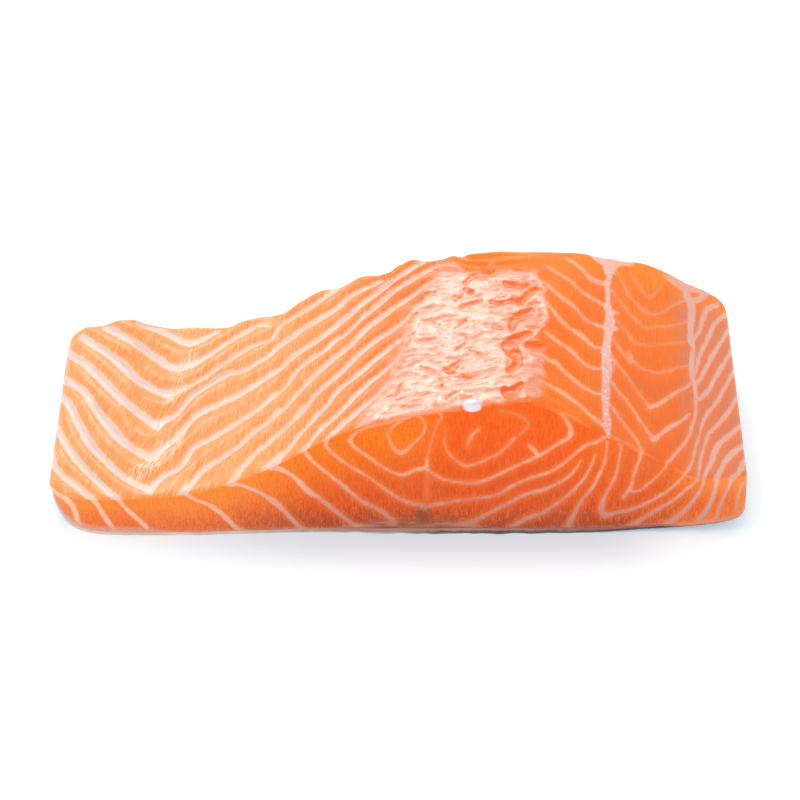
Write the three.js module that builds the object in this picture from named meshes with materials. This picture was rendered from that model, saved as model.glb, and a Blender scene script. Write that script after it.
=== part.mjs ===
// A portion of salmon fillet with its skin on, lying skin side down.
// Millimetres, +Z up. +X runs from the thin belly edge to the back of the fish,
// and +Y away from the near cut face. The origin is the middle of the base.

import * as THREE from "three";

// Overall size
const LENGTH = 151.4; // belly edge to back edge
const DEPTH = 69.7; // near cut face to far cut face
const HALF_LENGTH = LENGTH / 2;
const HALF_DEPTH = DEPTH / 2;

// Height of the flesh above the base along the near and the far cut face, as X and Z
const NEAR_HEIGHTS = [
  [-HALF_LENGTH, 9.8],
  [-66, 9.1],
  [-54, 8.4],
  [-43, 10.0],
  [-28, 16.8],
  [-13.5, 25.3],
  [-4, 28.8],
  [12, 31.6],
  [27.5, 33.6],
  [34.5, 31.3],
  [45, 24.6],
  [57, 18.3],
  [65, 13.8],
  [HALF_LENGTH, 13.8],
];
const FAR_HEIGHTS = [
  [-HALF_LENGTH, 7.0],
  [-72, 9.4],
  [-66, 10.9],
  [-61, 12.0],
  [-50, 9.9],
  [-40.5, 9.9],
  [-29, 13.0],
  [-24, 15.6],
  [-14.5, 21.0],
  [-2.5, 24.6],
  [3.5, 27.6],
  [25, 30.2],
  [40, 29.8],
  [55, 27.4],
  [62, 24.4],
  [69, 20.4],
  [73.5, 17.0],
  [HALF_LENGTH, 14.0],
];

// Height of the underside: flat on the table, curling up at both edges of the fish
const UNDERSIDE = [
  [-HALF_LENGTH, 3.6],
  [-74.5, 2.2],
  [-72.5, 0.9],
  [-69.5, 0],
  [40, 0],
  [50, 0.5],
  [60, 1.1],
  [68, 2.0],
  [73, 3.2],
  [HALF_LENGTH, 4.4],
];

// Skin
const SKIN_THICKNESS = 1.0;
const SKIN_GAP = 0.3;

// The near cut face swells towards the viewer over the belly
const SWELL = 1.75;
const SWELL_MIDDLE = -52;
const SWELL_REACH = 26;
const SWELL_LOW = 0.4; // share of the face's height where it stands out most

// Radii of the corners of the outline seen from above
const NEAR_BELLY_CORNER = 7; // at the top edge
const NEAR_BELLY_FOOT = 13; // at the base
const FAR_BELLY_CORNER = 3;
const BACK_CORNER = 3;

// The white septa between the flakes: where one of them runs over the top, as X and Y,
// and how far apart they lie along the fish. The flesh swells between each two of them.
const SEPTUM_ROUTE = [
  [-HALF_LENGTH, 7],
  [-72, -4],
  [-68, -13],
  [-63, -21.5],
  [-54, -29],
  [-46, -17.5],
  [-41.5, -11.3],
  [-28.4, -2.6],
  [-23, 5.2],
  [-17.5, 6.4],
  [-7.5, 15.6],
  [0.5, 22.8],
  [7, 30],
  [14, 25],
  [20, 28],
  [33.5, 19],
  [42, 8.6],
  [46.8, 2],
  [54.9, -13],
  [61.5, -3],
  [64, -24],
  [66, -12],
  [70, 0],
  [HALF_LENGTH, 20],
];
const SEPTUM_PITCH = [
  [-HALF_LENGTH, 11],
  [-54, 12.3],
  [-44, 12],
  [-28.4, 9.9],
  [-10, 7.9],
  [7, 7.3],
  [33, 9.6],
  [46, 8.6],
  [56, 9.5],
  [65, 8],
  [HALF_LENGTH, 8.2],
];
const FLAKE_RELIEF = 0.7; // crown of a flake above its septa
const FLAKE_FADE = 9; // the relief dies away over this length behind the near face

// A smooth membrane covers the flakes on the thick part
const MEMBRANE_LEFT = -6;
const MEMBRANE_RIGHT = 32;
const MEMBRANE_DEPTH = 26; // its far edge, as Y
const MEMBRANE_BLEND = 6;

// The end of a pin bone, a white bead on the near edge
const BEAD = { x: 16.4, y: -32, radius: 2.4, height: 1.0 };

// Fineness of the faceted surface
const CORNER_STEPS = 6;
const STATION_STEP = 1.9;
const TOP_COLUMNS = 30;
const FACE_ROWS = 5;
const BASE_COLUMNS = 3;
const SKIN_COLUMNS = 3;

const FLESH_FINISH = { color: 0xf4854b, roughness: 0.38, metalness: 0 };
const SKIN_FINISH = { color: 0x5b6068, roughness: 0.32, metalness: 0 };

// A smooth curve through points, each an argument and a value, that never overshoots them
function through(points) {
  const last = points.length - 1;
  const slopes = [];
  for (let i = 0; i < last; i += 1) {
    slopes.push((points[i + 1][1] - points[i][1]) / (points[i + 1][0] - points[i][0]));
  }
  const tangents = points.map((point, i) => {
    if (i === 0) return slopes[0];
    if (i === last) return slopes[last - 1];
    if (slopes[i - 1] * slopes[i] <= 0) return 0;
    return (2 * slopes[i - 1] * slopes[i]) / (slopes[i - 1] + slopes[i]);
  });
  return (at) => {
    const x = THREE.MathUtils.clamp(at, points[0][0], points[last][0]);
    let i = 0;
    while (i < last - 1 && x > points[i + 1][0]) i += 1;
    const span = points[i + 1][0] - points[i][0];
    const t = (x - points[i][0]) / span;
    const rest = 1 - t;
    return (
      points[i][1] * rest * rest * (1 + 2 * t) +
      points[i + 1][1] * t * t * (3 - 2 * t) +
      span * t * rest * (tangents[i] * rest - tangents[i + 1] * t)
    );
  };
}

const nearHeight = through(NEAR_HEIGHTS);
const farHeight = through(FAR_HEIGHTS);
const underside = through(UNDERSIDE);
const septumRoute = through(SEPTUM_ROUTE);
const septumPitch = through(SEPTUM_PITCH);
const rise = THREE.MathUtils.smoothstep;
const mix = THREE.MathUtils.lerp;

// How far the outline draws in at X, where its belly corner has this radius
function cornerSetback(x, bellyRadius) {
  const radius = x < 0 ? bellyRadius : BACK_CORNER;
  const inwards = HALF_LENGTH - Math.abs(x);
  if (inwards >= radius) return 0;
  return radius - Math.sqrt(radius ** 2 - (radius - inwards) ** 2);
}

// Y of the near cut face at X and at a share of its height
function nearFace(x, share) {
  const along = Math.exp(-(((x - SWELL_MIDDLE) / SWELL_REACH) ** 2));
  const up = 1 - (share - SWELL_LOW) ** 2;
  const corner = mix(NEAR_BELLY_FOOT, NEAR_BELLY_CORNER, share);
  return -HALF_DEPTH + SWELL * (1 - along * up) + cornerSetback(x, corner);
}

function farFace(x) {
  return HALF_DEPTH - cornerSetback(x, FAR_BELLY_CORNER);
}

// How much of the flakes' relief shows at a place on top
function reliefShare(x, y) {
  const behindFace = rise(y, -HALF_DEPTH, -HALF_DEPTH + FLAKE_FADE);
  const covered =
    rise(x, MEMBRANE_LEFT - MEMBRANE_BLEND, MEMBRANE_LEFT) *
    (1 - rise(x, MEMBRANE_RIGHT - MEMBRANE_BLEND, MEMBRANE_RIGHT)) *
    (1 - rise(y, MEMBRANE_DEPTH - MEMBRANE_BLEND, MEMBRANE_DEPTH));
  return behindFace * (1 - covered);
}

// Height of the top of the flesh
function topHeight(x, y) {
  const slab = mix(nearHeight(x), farHeight(x), (y + HALF_DEPTH) / DEPTH);
  const level = (y - septumRoute(x)) / septumPitch(x);
  const crown = Math.sin(Math.PI * level) ** 2 - 0.5;
  const beadDistance = Math.hypot(x - BEAD.x, y - BEAD.y) / BEAD.radius;
  const bead = BEAD.height * Math.exp(-(beadDistance ** 2));
  return slab + FLAKE_RELIEF * crown * reliefShare(x, y) + bead;
}

// X of every cross-section, close together where the corners turn
function stations() {
  const places = [];
  for (let i = 0; i < CORNER_STEPS; i += 1) {
    const turn = (Math.PI / 2) * (i / CORNER_STEPS);
    places.push(-HALF_LENGTH + NEAR_BELLY_CORNER * (1 - Math.cos(turn)));
  }
  const start = -HALF_LENGTH + NEAR_BELLY_CORNER;
  const end = HALF_LENGTH - BACK_CORNER;
  const count = Math.round((end - start) / STATION_STEP);
  for (let i = 0; i <= count; i += 1) {
    places.push(mix(start, end, i / count));
  }
  for (let i = CORNER_STEPS - 1; i >= 0; i -= 1) {
    const turn = (Math.PI / 2) * (i / CORNER_STEPS);
    places.push(HALF_LENGTH - BACK_CORNER * (1 - Math.cos(turn)));
  }
  return places;
}

// One cross-section of the flesh as Y and Z: up the near face, over the top,
// down the far face and back along the base
function fleshSection(x) {
  const base = underside(x) + SKIN_THICKNESS + SKIN_GAP;
  const near = (share) => nearFace(x, share);
  const far = farFace(x);
  const nearTop = topHeight(x, near(1));
  const farTop = topHeight(x, far);
  const loop = [];
  for (let i = 0; i < FACE_ROWS; i += 1) {
    const share = i / FACE_ROWS;
    loop.push([near(share), mix(base, nearTop, share)]);
  }
  for (let i = 0; i <= TOP_COLUMNS; i += 1) {
    const y = mix(near(1), far, i / TOP_COLUMNS);
    loop.push([y, topHeight(x, y)]);
  }
  for (let i = 1; i < FACE_ROWS; i += 1) {
    loop.push([far, mix(farTop, base, i / FACE_ROWS)]);
  }
  for (let i = 0; i < BASE_COLUMNS; i += 1) {
    loop.push([mix(far, near(0), i / BASE_COLUMNS), base]);
  }
  return loop;
}

// One cross-section of the skin, a sheet under the whole of the flesh
function skinSection(x) {
  const low = underside(x);
  const near = nearFace(x, 0);
  const far = farFace(x);
  const loop = [];
  for (let i = 0; i <= SKIN_COLUMNS; i += 1) {
    loop.push([mix(near, far, i / SKIN_COLUMNS), low + SKIN_THICKNESS]);
  }
  for (let i = 0; i <= SKIN_COLUMNS; i += 1) {
    loop.push([mix(far, near, i / SKIN_COLUMNS), low]);
  }
  return loop;
}

// The triangles that close a cross-section, facing along -X or +X
function endTriangles(ring, facing) {
  const corners = ring.map(([y, z]) => new THREE.Vector2(y, z));
  return THREE.ShapeUtils.triangulateShape(corners, []).map(([a, b, c]) => {
    const area = THREE.ShapeUtils.area([corners[a], corners[b], corners[c]]);
    return area * facing > 0 ? [a, b, c] : [a, c, b];
  });
}

// A closed solid through cross-sections with the same number of points, flat at both ends
function loft(places, section) {
  const rings = places.map(section);
  const size = rings[0].length;
  const positions = [];
  rings.forEach((ring, i) => {
    ring.forEach(([y, z]) => positions.push(places[i], y, z));
  });
  const index = [];
  for (let i = 0; i < rings.length - 1; i += 1) {
    for (let j = 0; j < size; j += 1) {
      const here = i * size + j;
      const next = i * size + ((j + 1) % size);
      index.push(here, here + size, next);
      index.push(next, here + size, next + size);
    }
  }
  const lastRing = (rings.length - 1) * size;
  endTriangles(rings[0], -1).forEach((triangle) => index.push(...triangle));
  endTriangles(rings[rings.length - 1], 1).forEach((triangle) => {
    index.push(...triangle.map((corner) => lastRing + corner));
  });
  const geometry = new THREE.BufferGeometry();
  geometry.setAttribute("position", new THREE.Float32BufferAttribute(positions, 3));
  geometry.setIndex(index);
  geometry.computeVertexNormals();
  return geometry;
}

function piece(name, section, finish) {
  const material = new THREE.MeshStandardMaterial(finish);
  const mesh = new THREE.Mesh(loft(stations(), section), material);
  mesh.name = name;
  return mesh;
}

const fillet = new THREE.Group();
fillet.add(piece("flesh", fleshSection, FLESH_FINISH));
fillet.add(piece("skin", skinSection, SKIN_FINISH));

export default fillet;
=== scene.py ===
"""The looks of a skin-on salmon fillet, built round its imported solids.

Lengths are in millimetres until a mesh, a light or the camera is made. The white septa are
placed by pixels of the 800 x 800 photograph, which are carried onto the surface of the fillet
along the camera's rays, so the pattern lies in the flesh and holds from every side.
"""
import math

import bpy
import numpy as np
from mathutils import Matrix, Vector, noise


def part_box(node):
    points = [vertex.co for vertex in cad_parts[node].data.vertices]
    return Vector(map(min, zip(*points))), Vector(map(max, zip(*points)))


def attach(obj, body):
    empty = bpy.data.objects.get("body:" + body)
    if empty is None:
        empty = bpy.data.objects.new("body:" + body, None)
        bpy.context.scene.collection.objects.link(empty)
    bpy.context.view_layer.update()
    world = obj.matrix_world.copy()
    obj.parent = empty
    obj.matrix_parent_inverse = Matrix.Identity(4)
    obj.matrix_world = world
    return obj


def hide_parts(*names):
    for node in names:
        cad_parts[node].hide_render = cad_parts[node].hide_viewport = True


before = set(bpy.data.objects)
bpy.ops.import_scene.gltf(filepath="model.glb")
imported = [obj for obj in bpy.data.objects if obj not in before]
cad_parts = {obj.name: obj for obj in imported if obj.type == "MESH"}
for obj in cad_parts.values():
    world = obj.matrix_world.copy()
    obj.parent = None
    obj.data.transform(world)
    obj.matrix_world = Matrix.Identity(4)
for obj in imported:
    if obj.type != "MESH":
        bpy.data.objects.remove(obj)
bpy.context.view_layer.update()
MM = 0.001

# Overall size, from the solids
FLESH_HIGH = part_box("flesh")[1]
HALF_LENGTH = FLESH_HIGH[0] / MM
HALF_DEPTH = FLESH_HIGH[1] / MM
DEPTH = 2 * HALF_DEPTH

# Height of the flesh along the near and the far cut face, as X and Z
NEAR_HEIGHTS = [
    (-HALF_LENGTH, 9.8), (-66, 9.1), (-54, 9.6), (-44, 10.9), (-28, 16.8), (-13.5, 25.3), (-4, 28.8),
    (12, 31.6), (27.5, 33.6), (34.5, 31.3), (45, 24.6), (57, 18.3), (65, 13.8), (HALF_LENGTH, 13.8),
]
FAR_HEIGHTS = [
    (-HALF_LENGTH, 7.6), (-72, 9.8), (-66, 11.4), (-61, 12.5), (-57.5, 11.1), (-50, 9.8), (-40.5, 10.2),
    (-35, 11.8), (-31.5, 12.8), (-27, 13.8), (-22, 16.8), (-16, 20.3), (-13.2, 21.0), (-7.6, 24.0),
    (-4.9, 23.9), (-2.1, 25.0), (0.5, 27.3), (3.4, 28.1), (6.2, 28.1), (12, 28.9), (22, 30.0),
    (34, 30.4), (41, 30.1), (50.5, 28.3), (56, 27.3), (61.5, 25.0), (67, 21.9), (70, 20.5),
    (73.4, 18.3), (HALF_LENGTH, 16.6),
]
UNDERSIDE = [
    (-HALF_LENGTH, 3.6), (-74.5, 2.2), (-72.5, 0.9), (-69.5, 0), (40, 0), (50, 0.5), (60, 1.1),
    (68, 2.0), (73, 3.2), (HALF_LENGTH, 4.4),
]
SKIN_THICKNESS = 1.0
SKIN_OVERLAP = 0.15  # the flesh reaches this far into the skin, so that no gap shows

# The skin's lip past the foot of the near face: its reach, how it waves, and the X where it starts,
# is full, draws in again and ends
SKIN_LIP = 0.9
LIP_EVEN = 0.9
LIP_WAVE = 0.6
LIP_RANGE = (-24, 4, 34, 62)

# The near face swells towards the viewer over the belly
SWELL = 1.75
SWELL_MIDDLE = -52
SWELL_REACH = 26
SWELL_LOW = 0.4  # share of the face's height where it stands out most

# Radii of the outline's corners and of the edges between the top and the sides, and how far from those edges
# the painted rim highlight reaches
NEAR_BELLY_CORNER = 7
NEAR_BELLY_FOOT = 13
FAR_BELLY_CORNER = 2
BACK_CORNER = 3
END_ROUND = 1.3
EDGE_ROUND = 1.6
EDGE_CUT = 0.32
FAR_EDGE_CUT = 0.15
RIM_HIGHLIGHT_REACH = 1.1

# The ends bulge a little and close on a line this far up them, with this share of their depth
END_SWELL = 0.4
END_CORE = 0.85
END_LEVEL = 0.12

# Relief: heights in mm. The flakes flatten by a share over the loin and again over the back, between
# these X.
FLAKE_RELIEF = 0.7
FLAKE_FADE = 9  # the flakes rise over this length behind the near face
FLATTER = 0.6
LOIN_RANGE = (18, 36)
BACK_RANGE = (52, 62)
SEPTUM_GROOVE = 0.12
CUT_RELIEF = 0.16
UNEVEN = 0.25
RIPPLE = 0.12
WRINKLE = 0.4
WRINKLE_SHARPNESS = 2.2
LARGE_WRINKLES = 0.6
TEAR_DEPTH = 0.3
FOLD_HEIGHT = 0.3
CALM_FOOT = 0.15  # no relief below this share of the height, so that the flesh meets the skin
CALM_END = 2.0

# Scales of the skin, and how far their edges stand out
SCALE_WIDTH = 3.0
SCALE_STEP = 2.1
SCALE_OVERLAP = 1.9
SCALE_HALF = 0.56
SCALE_LOW = 0.35
SCALE_RELIEF = 0.16

# How the near face's pattern is carried to the far one. It leans with the vertical septum between
# these X, and it is evened out over this length of the far face.
FOLLOWING = (0, 44, 52, 66)
GAP_SPREAD = 9
JUMP = 0.5  # the top's levels step by more than this where it numbers its septa anew
EDGE_HOLD = 8  # how tightly the sides' levels keep to the top's own close to their common edge

# The dark spot at the foot of the near cut face
DARK_SPOT = (5.6, 0.0, 4.4)

# How far the fibres lean over the belly, and the creases of the film on its left
FIBRE_LEAN = 0.22
CREASE_LEAN = 1.4

# The camera of the photograph, and how finely its rays are followed onto the fillet
CAMERA_ELEVATION = math.radians(33)
CAMERA_DISTANCE = 850
CAMERA_TARGET = np.array([0.65, 0.9, 12.0])
FOCAL_PX = 3809
PHOTO_SIDE = 800
SENSOR = 36
PIXELS_PER_MM = FOCAL_PX / CAMERA_DISTANCE
TOP_MARGIN = 8  # the top is carried on this far past its edges
RAY_STEPS = 30
FACE_STEPS = 4

# The floor and the place that the lights turn to, in metres
FLOOR_SIDE = 1.6
LIT_PLACE = Vector((0, 0, 0.01))

# Widths in mm of the septa on the far and end faces, as X and width, and the least and greatest
# steepness of the levels there
CUT_WIDTHS = [(-76, 1.3), (-50, 1.1), (-20, 0.9), (0, 0.75), (30, 0.7), (60, 0.8), (76, 1.0)]
STEEP_LOW = 0.03
STEEP_HIGH = 0.3
END_STEEP_LOW = 0.07

# Strokes: how far in pixels they reach, and how far a septum's end may lie from the near edge and
# still be carried on across it
STROKE_REACH = 12.0
EDGE_REACH = 4
EDGE_STEPS = 200

# What each mark says where its feature is absent, and its limits
NO_FILM, NO_STROKE, NO_BEAD = -4, -2, -3
HIGHEST = 12  # the mark of the height over the foot ends here
FAR_WHITENESS = 0.8

# Fineness of the meshes
STATION_STEP = 0.4
CORNER_STEPS = 12
FACE_ROWS = 48
NEAR_CROWDING = 1.15
TOP_COLUMNS = 138
FAR_ROWS = 46
FAR_CROWDING = 1.2
BASE_COLUMNS = 6
CAP_RINGS = 14
ROUTE_STEPS = 4
SKIN_CORNER = 3
SKIN_CORNER_STEPS = 8
SKIN_STATIONS = 230
SKIN_COLUMNS = 111
SKIN_TOP_COLUMNS = 12
CHUNK = 20000  # places worked out at a time
TINY = 1e-9

# Colours as they look on a screen
COLOURS = {
    # The belly colour on the next line is partly the belly's own paler tone and partly painted sheen
    "loin": (250, 114, 26), "belly": (247, 168, 104), "loin glow": (252, 138, 46), "loin far": (250, 142, 46),
    "inner near": (230, 112, 52), "inner far": (248, 134, 62), "back": (210, 134, 108),
    "cut high": (254, 130, 26), "cut high middle": (250, 104, 22), "cut high belly": (253, 150, 62),
    "cut high loin": (236, 116, 50), "cut high back": (242, 150, 74),
    "cut": (226, 94, 40), "cut belly": (248, 138, 70),
    # The cut foot colours on the next line are darker than the high ones: partly the flesh's own tone, partly
    # painted shade towards the foot
    "cut foot toned and shaded": (182, 84, 54), "cut foot belly toned and shaded": (236, 122, 68), "cut foot back toned and shaded": (234, 126, 66),
    "loin deep": (244, 106, 34), "belly deep": (246, 136, 66), "cut deep": (186, 76, 38),
    "top light": (255, 218, 172), "cut light": (250, 146, 84),
    "loin beside": (250, 140, 62), "belly beside": (252, 186, 126), "cut beside": (246, 132, 62),
    # The rim colour on the next line is a painted highlight along the upper edges
    "loin front": (248, 110, 28), "belly front": (250, 150, 74), "rim_highlight": (254, 172, 100),
    "fat": (240, 208, 192), "fat core": (227, 203, 198), "fat loin": (248, 182, 146),
    "fat inner": (238, 176, 156), "fat back": (228, 177, 165),
    # The low septum colour of the cut faces on the next line is darker: partly its own tone, partly painted
    # shade towards the foot
    "cut fat low toned and shaded": (208, 154, 144), "cut fat high": (244, 182, 144), "cut fat belly": (244, 196, 166),
    "cut fat core": (246, 206, 188), "upright near": (232, 168, 158), "upright far": (240, 184, 172),
    # The last colour on the next line is a painted white sheen on the fibres
    "upright speck": (250, 226, 218), "fibre_sheen": (253, 236, 218),
    "layer dark": (212, 160, 140), "layer light": (226, 176, 154), "layer dull": (158, 106, 84),
    "layer dull light": (198, 146, 124), "dark spot": (136, 84, 60),
    "film thin": (236, 150, 112), "film thick": (241, 184, 157), "film glint": (247, 205, 185),
    # The fold colour on the next line is a painted highlight on the film's folds and bright spots
    "film crease": (222, 116, 70), "film hair": (226, 132, 92), "film fold highlight": (253, 222, 204),
    "tear deep": (248, 102, 24), "tear shallow": (252, 134, 44),
    "bead": (236, 226, 236), "bead scratch": (200, 186, 204),
    "silver": (186, 190, 194), "silver light": (218, 220, 222), "slate": (58, 66, 74),
    "slate light": (92, 100, 108), "skin spot": (28, 30, 34), "scale edge": (40, 44, 50),
    "skin line": (58, 42, 40), "skin fat": (220, 174, 158), "skin fat light": (234, 192, 174),
    "skin fat middle": (172, 114, 90), "skin fat loin": (164, 84, 60), "skin fat back": (226, 128, 78),
    # The last paper colour on the next line is a painted shadow in front of the fillet
    "paper": (235, 242, 247), "paper light": (237, 244, 248), "paper painted shadow": (198, 215, 225),
    "paper glow": (238, 249, 255),
}

# Each septum: its level, how white it is, and its route as pixel x, pixel y and half width in pixels.
# The level counts the septa along the fish, so two neighbours are one apart.
TOP_LEFT_SEPTA = [
    (13, 1.0, [(140, 322, 2.2), (157, 328, 2.5), (170, 334, 2.5), (183, 341, 2.6), (191, 343, 2.6)]),
    (13, 0.9, [(191, 343, 2.5), (200, 340, 2.0), (208, 335, 1.5), (217, 331, 1.1)]),
    (12, 1.0, [(106, 327, 2.8), (121, 334, 3.0), (135, 342, 3.2), (149, 352, 2.9), (162, 361, 2.8),
        (170, 366, 2.6), (178, 368, 2.4)]),
    (12, 0.9, [(178, 368, 2.6), (191, 364, 2.5), (203, 358, 1.8), (214, 351, 1.3), (226, 342, 1.5),
        (239, 335, 1.7), (252, 327, 1.4), (260, 324, 1.2), (270, 325, 0.8)]),
    (11, 1.0, [(82, 337, 3.0), (98, 347, 3.0), (112, 356, 3.2), (124, 366, 4.3), (135, 377, 3.4),
        (147, 385, 2.8), (158, 391, 2.8), (170, 394, 3.4)]),
    (11, 0.85, [(170, 394, 3.6), (181, 389, 2.2), (192, 384, 1.3), (207, 375, 1.2), (219, 366, 1.4),
        (230, 359, 1.6), (238, 353, 1.8), (249, 346, 1.8), (260, 342, 1.3), (270, 339, 1.0),
        (277, 329, 1.4), (282, 323, 1.6), (296, 315, 1.8), (310, 307, 2.0), (324, 297, 2.1),
        (337, 288, 2.4)]),
    (10, 1.0, [(69, 354, 3.0), (81, 360, 3.2), (94, 371, 3.2), (108, 385, 3.5), (121, 398, 3.2),
        (135, 409, 3.0), (149, 419, 3.0), (157, 425, 3.2)]),
    (10, 0.9, [(157, 425, 2.8), (165, 419, 2.0), (176, 414, 1.5), (184, 405, 1.6), (193, 395, 1.8),
        (207, 386, 1.7), (219, 378, 2.0), (230, 372, 2.0), (242, 370, 1.7), (256, 362, 1.6),
        (269, 355, 1.7), (277, 346, 2.2), (288, 339, 2.3), (299, 330, 2.3), (310, 323, 2.4),
        (324, 315, 2.5), (337, 307, 2.3), (348, 297, 2.2), (362, 289, 2.1), (381, 280, 1.8)]),
    (9, 1.0, [(63, 379, 3.0), (77, 386, 3.0), (86, 394, 3.2), (94, 406, 3.3), (104, 419, 3.6),
        (114, 431, 4.6), (127, 444, 3.2), (139, 451, 2.6), (151, 457, 2.6)]),
    (9, 0.95, [(151, 457, 2.4), (161, 448, 1.9), (170, 442, 1.8), (181, 433, 1.7), (188, 423, 1.8),
        (196, 415, 2.3), (208, 408, 2.2), (221, 402, 2.3), (239, 393, 2.2), (253, 385, 2.2),
        (264, 378, 2.2), (273, 372, 2.4), (281, 367, 1.6), (287, 360, 2.2), (296, 353, 2.4),
        (310, 344, 2.5), (324, 335, 2.6), (337, 324, 2.6), (351, 313, 2.6), (364, 302, 2.7),
        (378, 292, 2.5), (391, 282, 2.5), (405, 272, 2.6), (415, 265, 2.5), (423, 262, 2.0)]),
    (8, 1.0, [(62, 397, 2.8), (70, 405, 3.1), (75, 417, 3.2), (82, 429, 3.3), (90, 443, 3.7),
        (101, 455, 3.0), (113, 467, 2.7), (127, 478, 2.4), (140, 485, 2.4), (150, 490, 3.0)]),
    (8, 0.9, [(150, 490, 2.8), (157, 480, 2.1), (166, 473, 1.8), (181, 465, 1.8), (189, 453, 1.5),
        (195, 446, 1.6), (210, 438, 1.9), (225, 429, 1.9), (236, 422, 1.9), (247, 415, 1.8),
        (258, 408, 1.6), (266, 401, 1.4)]),
    (8, 0.9, [(262, 404, 1.0), (273, 394, 2.6), (279, 391, 1.0), (286, 385, 1.6), (291, 377, 1.6),
        (299, 367, 1.8), (310, 359, 2.2), (324, 350, 2.2), (337, 338, 2.1), (345, 333, 1.5),
        (353, 326, 2.2), (364, 315, 2.3), (378, 304, 2.5), (391, 293, 2.6), (405, 283, 2.6),
        (422, 273, 2.2), (433, 267, 1.8), (442, 264, 1.4), (455, 265, 1.3), (463, 269, 1.0)]),
    (7, 1.0, [(55, 425, 2.6), (63, 439, 2.9), (71, 452, 2.9), (82, 465, 2.8), (94, 477, 2.6),
        (105, 488, 2.4), (118, 499, 2.3), (125, 506, 2.3)]),
    (7, 0.85, [(181, 496, 3.0), (184, 492, 3.2), (192, 483, 2.0), (200, 471, 1.9), (210, 464, 1.9),
        (221, 457, 1.8), (231, 451, 1.8), (241, 443, 1.8), (250, 434, 1.8), (258, 428, 1.7),
        (265, 423, 1.6), (272, 417, 1.7), (278, 411, 2.8), (284, 407, 1.5), (294, 396, 1.8),
        (302, 388, 2.1), (313, 376, 2.5), (324, 366, 2.5), (337, 355, 2.6), (348, 347, 2.6),
        (359, 335, 2.7), (370, 324, 2.7), (383, 315, 2.5), (397, 305, 2.4), (410, 297, 2.2),
        (423, 287, 2.0), (434, 281, 1.9), (444, 275, 1.6)]),
    (6, 1.0, [(50, 453, 2.4), (55, 466, 2.5), (62, 474, 2.5), (73, 482, 2.4), (82, 490, 2.3),
        (91, 498, 2.3), (98, 505, 2.3)]),
    (6, 0.85, [(227, 488, 2.8), (230, 484, 3.0), (236, 477, 2.0), (243, 466, 1.6), (250, 458, 1.7),
        (258, 449, 1.7), (266, 444, 1.7), (274, 436, 2.0), (281, 430, 1.7), (290, 421, 2.0),
        (296, 416, 2.0), (302, 409, 3.2), (307, 404, 2.0), (312, 397, 1.9), (321, 389, 2.2),
        (332, 380, 2.2), (343, 369, 2.4), (351, 361, 2.6), (362, 350, 2.4), (375, 340, 2.4),
        (386, 333, 2.2), (398, 325, 2.0), (410, 315, 1.8), (420, 306, 1.8), (428, 299, 1.4)]),
    (5, 0.95, [(266, 470, 3.2), (270, 466, 3.6), (275, 462, 4.4), (281, 454, 2.6), (289, 446, 1.9),
        (295, 438, 1.9), (300, 432, 1.7), (306, 426, 1.7), (311, 420, 1.6), (318, 412, 2.2),
        (327, 404, 2.0), (333, 395, 1.8), (344, 384, 2.1), (355, 376, 2.4), (364, 368, 2.5),
        (374, 359, 2.4), (384, 351, 2.2), (393, 344, 2.0), (403, 337, 1.9), (412, 330, 1.8),
        (420, 323, 1.3)]),
    (4, 0.95, [(301, 454, 2.8), (304, 450, 3.0), (309, 443, 1.8), (315, 435, 1.7), (322, 427, 2.5),
        (330, 420, 2.4), (338, 413, 2.0), (346, 405, 2.1), (353, 397, 2.4), (362, 389, 2.5),
        (371, 380, 2.4), (381, 372, 2.1), (388, 366, 1.9), (397, 358, 1.8), (405, 350, 1.4)]),
    (3, 0.95, [(324, 444, 2.8), (327, 440, 3.0), (333, 433, 2.3), (341, 425, 2.5), (349, 418, 2.4),
        (357, 411, 2.4), (364, 405, 2.4), (372, 399, 2.0), (382, 390, 1.9), (391, 381, 1.8),
        (399, 373, 1.4)]),
    (2, 0.7, [(348, 444, 2.4), (350, 440, 2.4), (354, 433, 2.6), (358, 428, 2.6), (366, 422, 2.4),
        (378, 415, 2.0), (387, 407, 1.8)]),
    (10, 0.8, [(566, 257, 1.6), (574, 262, 1.4), (582, 268, 1.4), (588, 275, 1.6), (595, 280, 2.0),
        (606, 284, 1.8)]),
    (9, 0.7, [(547, 265, 1.2), (558, 272, 1.5), (568, 278, 1.4), (577, 286, 1.3), (585, 293, 1.5),
        (594, 298, 1.1), (604, 304, 1.3)]),
    (8, 0.75, [(544, 281, 1.2), (551, 287, 1.6), (559, 294, 2.0), (568, 301, 1.6), (576, 307, 1.7),
        (583, 316, 1.2), (592, 322, 1.1), (604, 326, 1.4)]),
    (7, 0.8, [(547, 303, 1.2), (555, 312, 1.7), (562, 320, 1.5), (571, 328, 1.5), (580, 333, 2.5),
        (588, 340, 1.7), (595, 346, 1.1), (604, 347, 1.1)]),
    (6, 0.75, [(545, 331, 1.2), (554, 338, 1.7), (565, 346, 1.5), (573, 352, 2.0), (580, 359, 1.5),
        (591, 367, 1.4), (603, 368, 1.0)]),
    (5, 0.75, [(540, 354, 1.0), (547, 358, 1.2), (557, 363, 2.0), (565, 371, 1.5), (576, 380, 1.5),
        (585, 387, 1.4), (595, 392, 1.3), (604, 394, 1.3)]),
    (4, 0.75, [(540, 380, 0.9), (547, 383, 0.9), (556, 388, 1.2), (562, 391, 2.4), (571, 398, 1.8),
        (580, 405, 1.5), (591, 415, 1.7), (600, 422, 2.0), (606, 427, 2.4)]),
]
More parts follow.
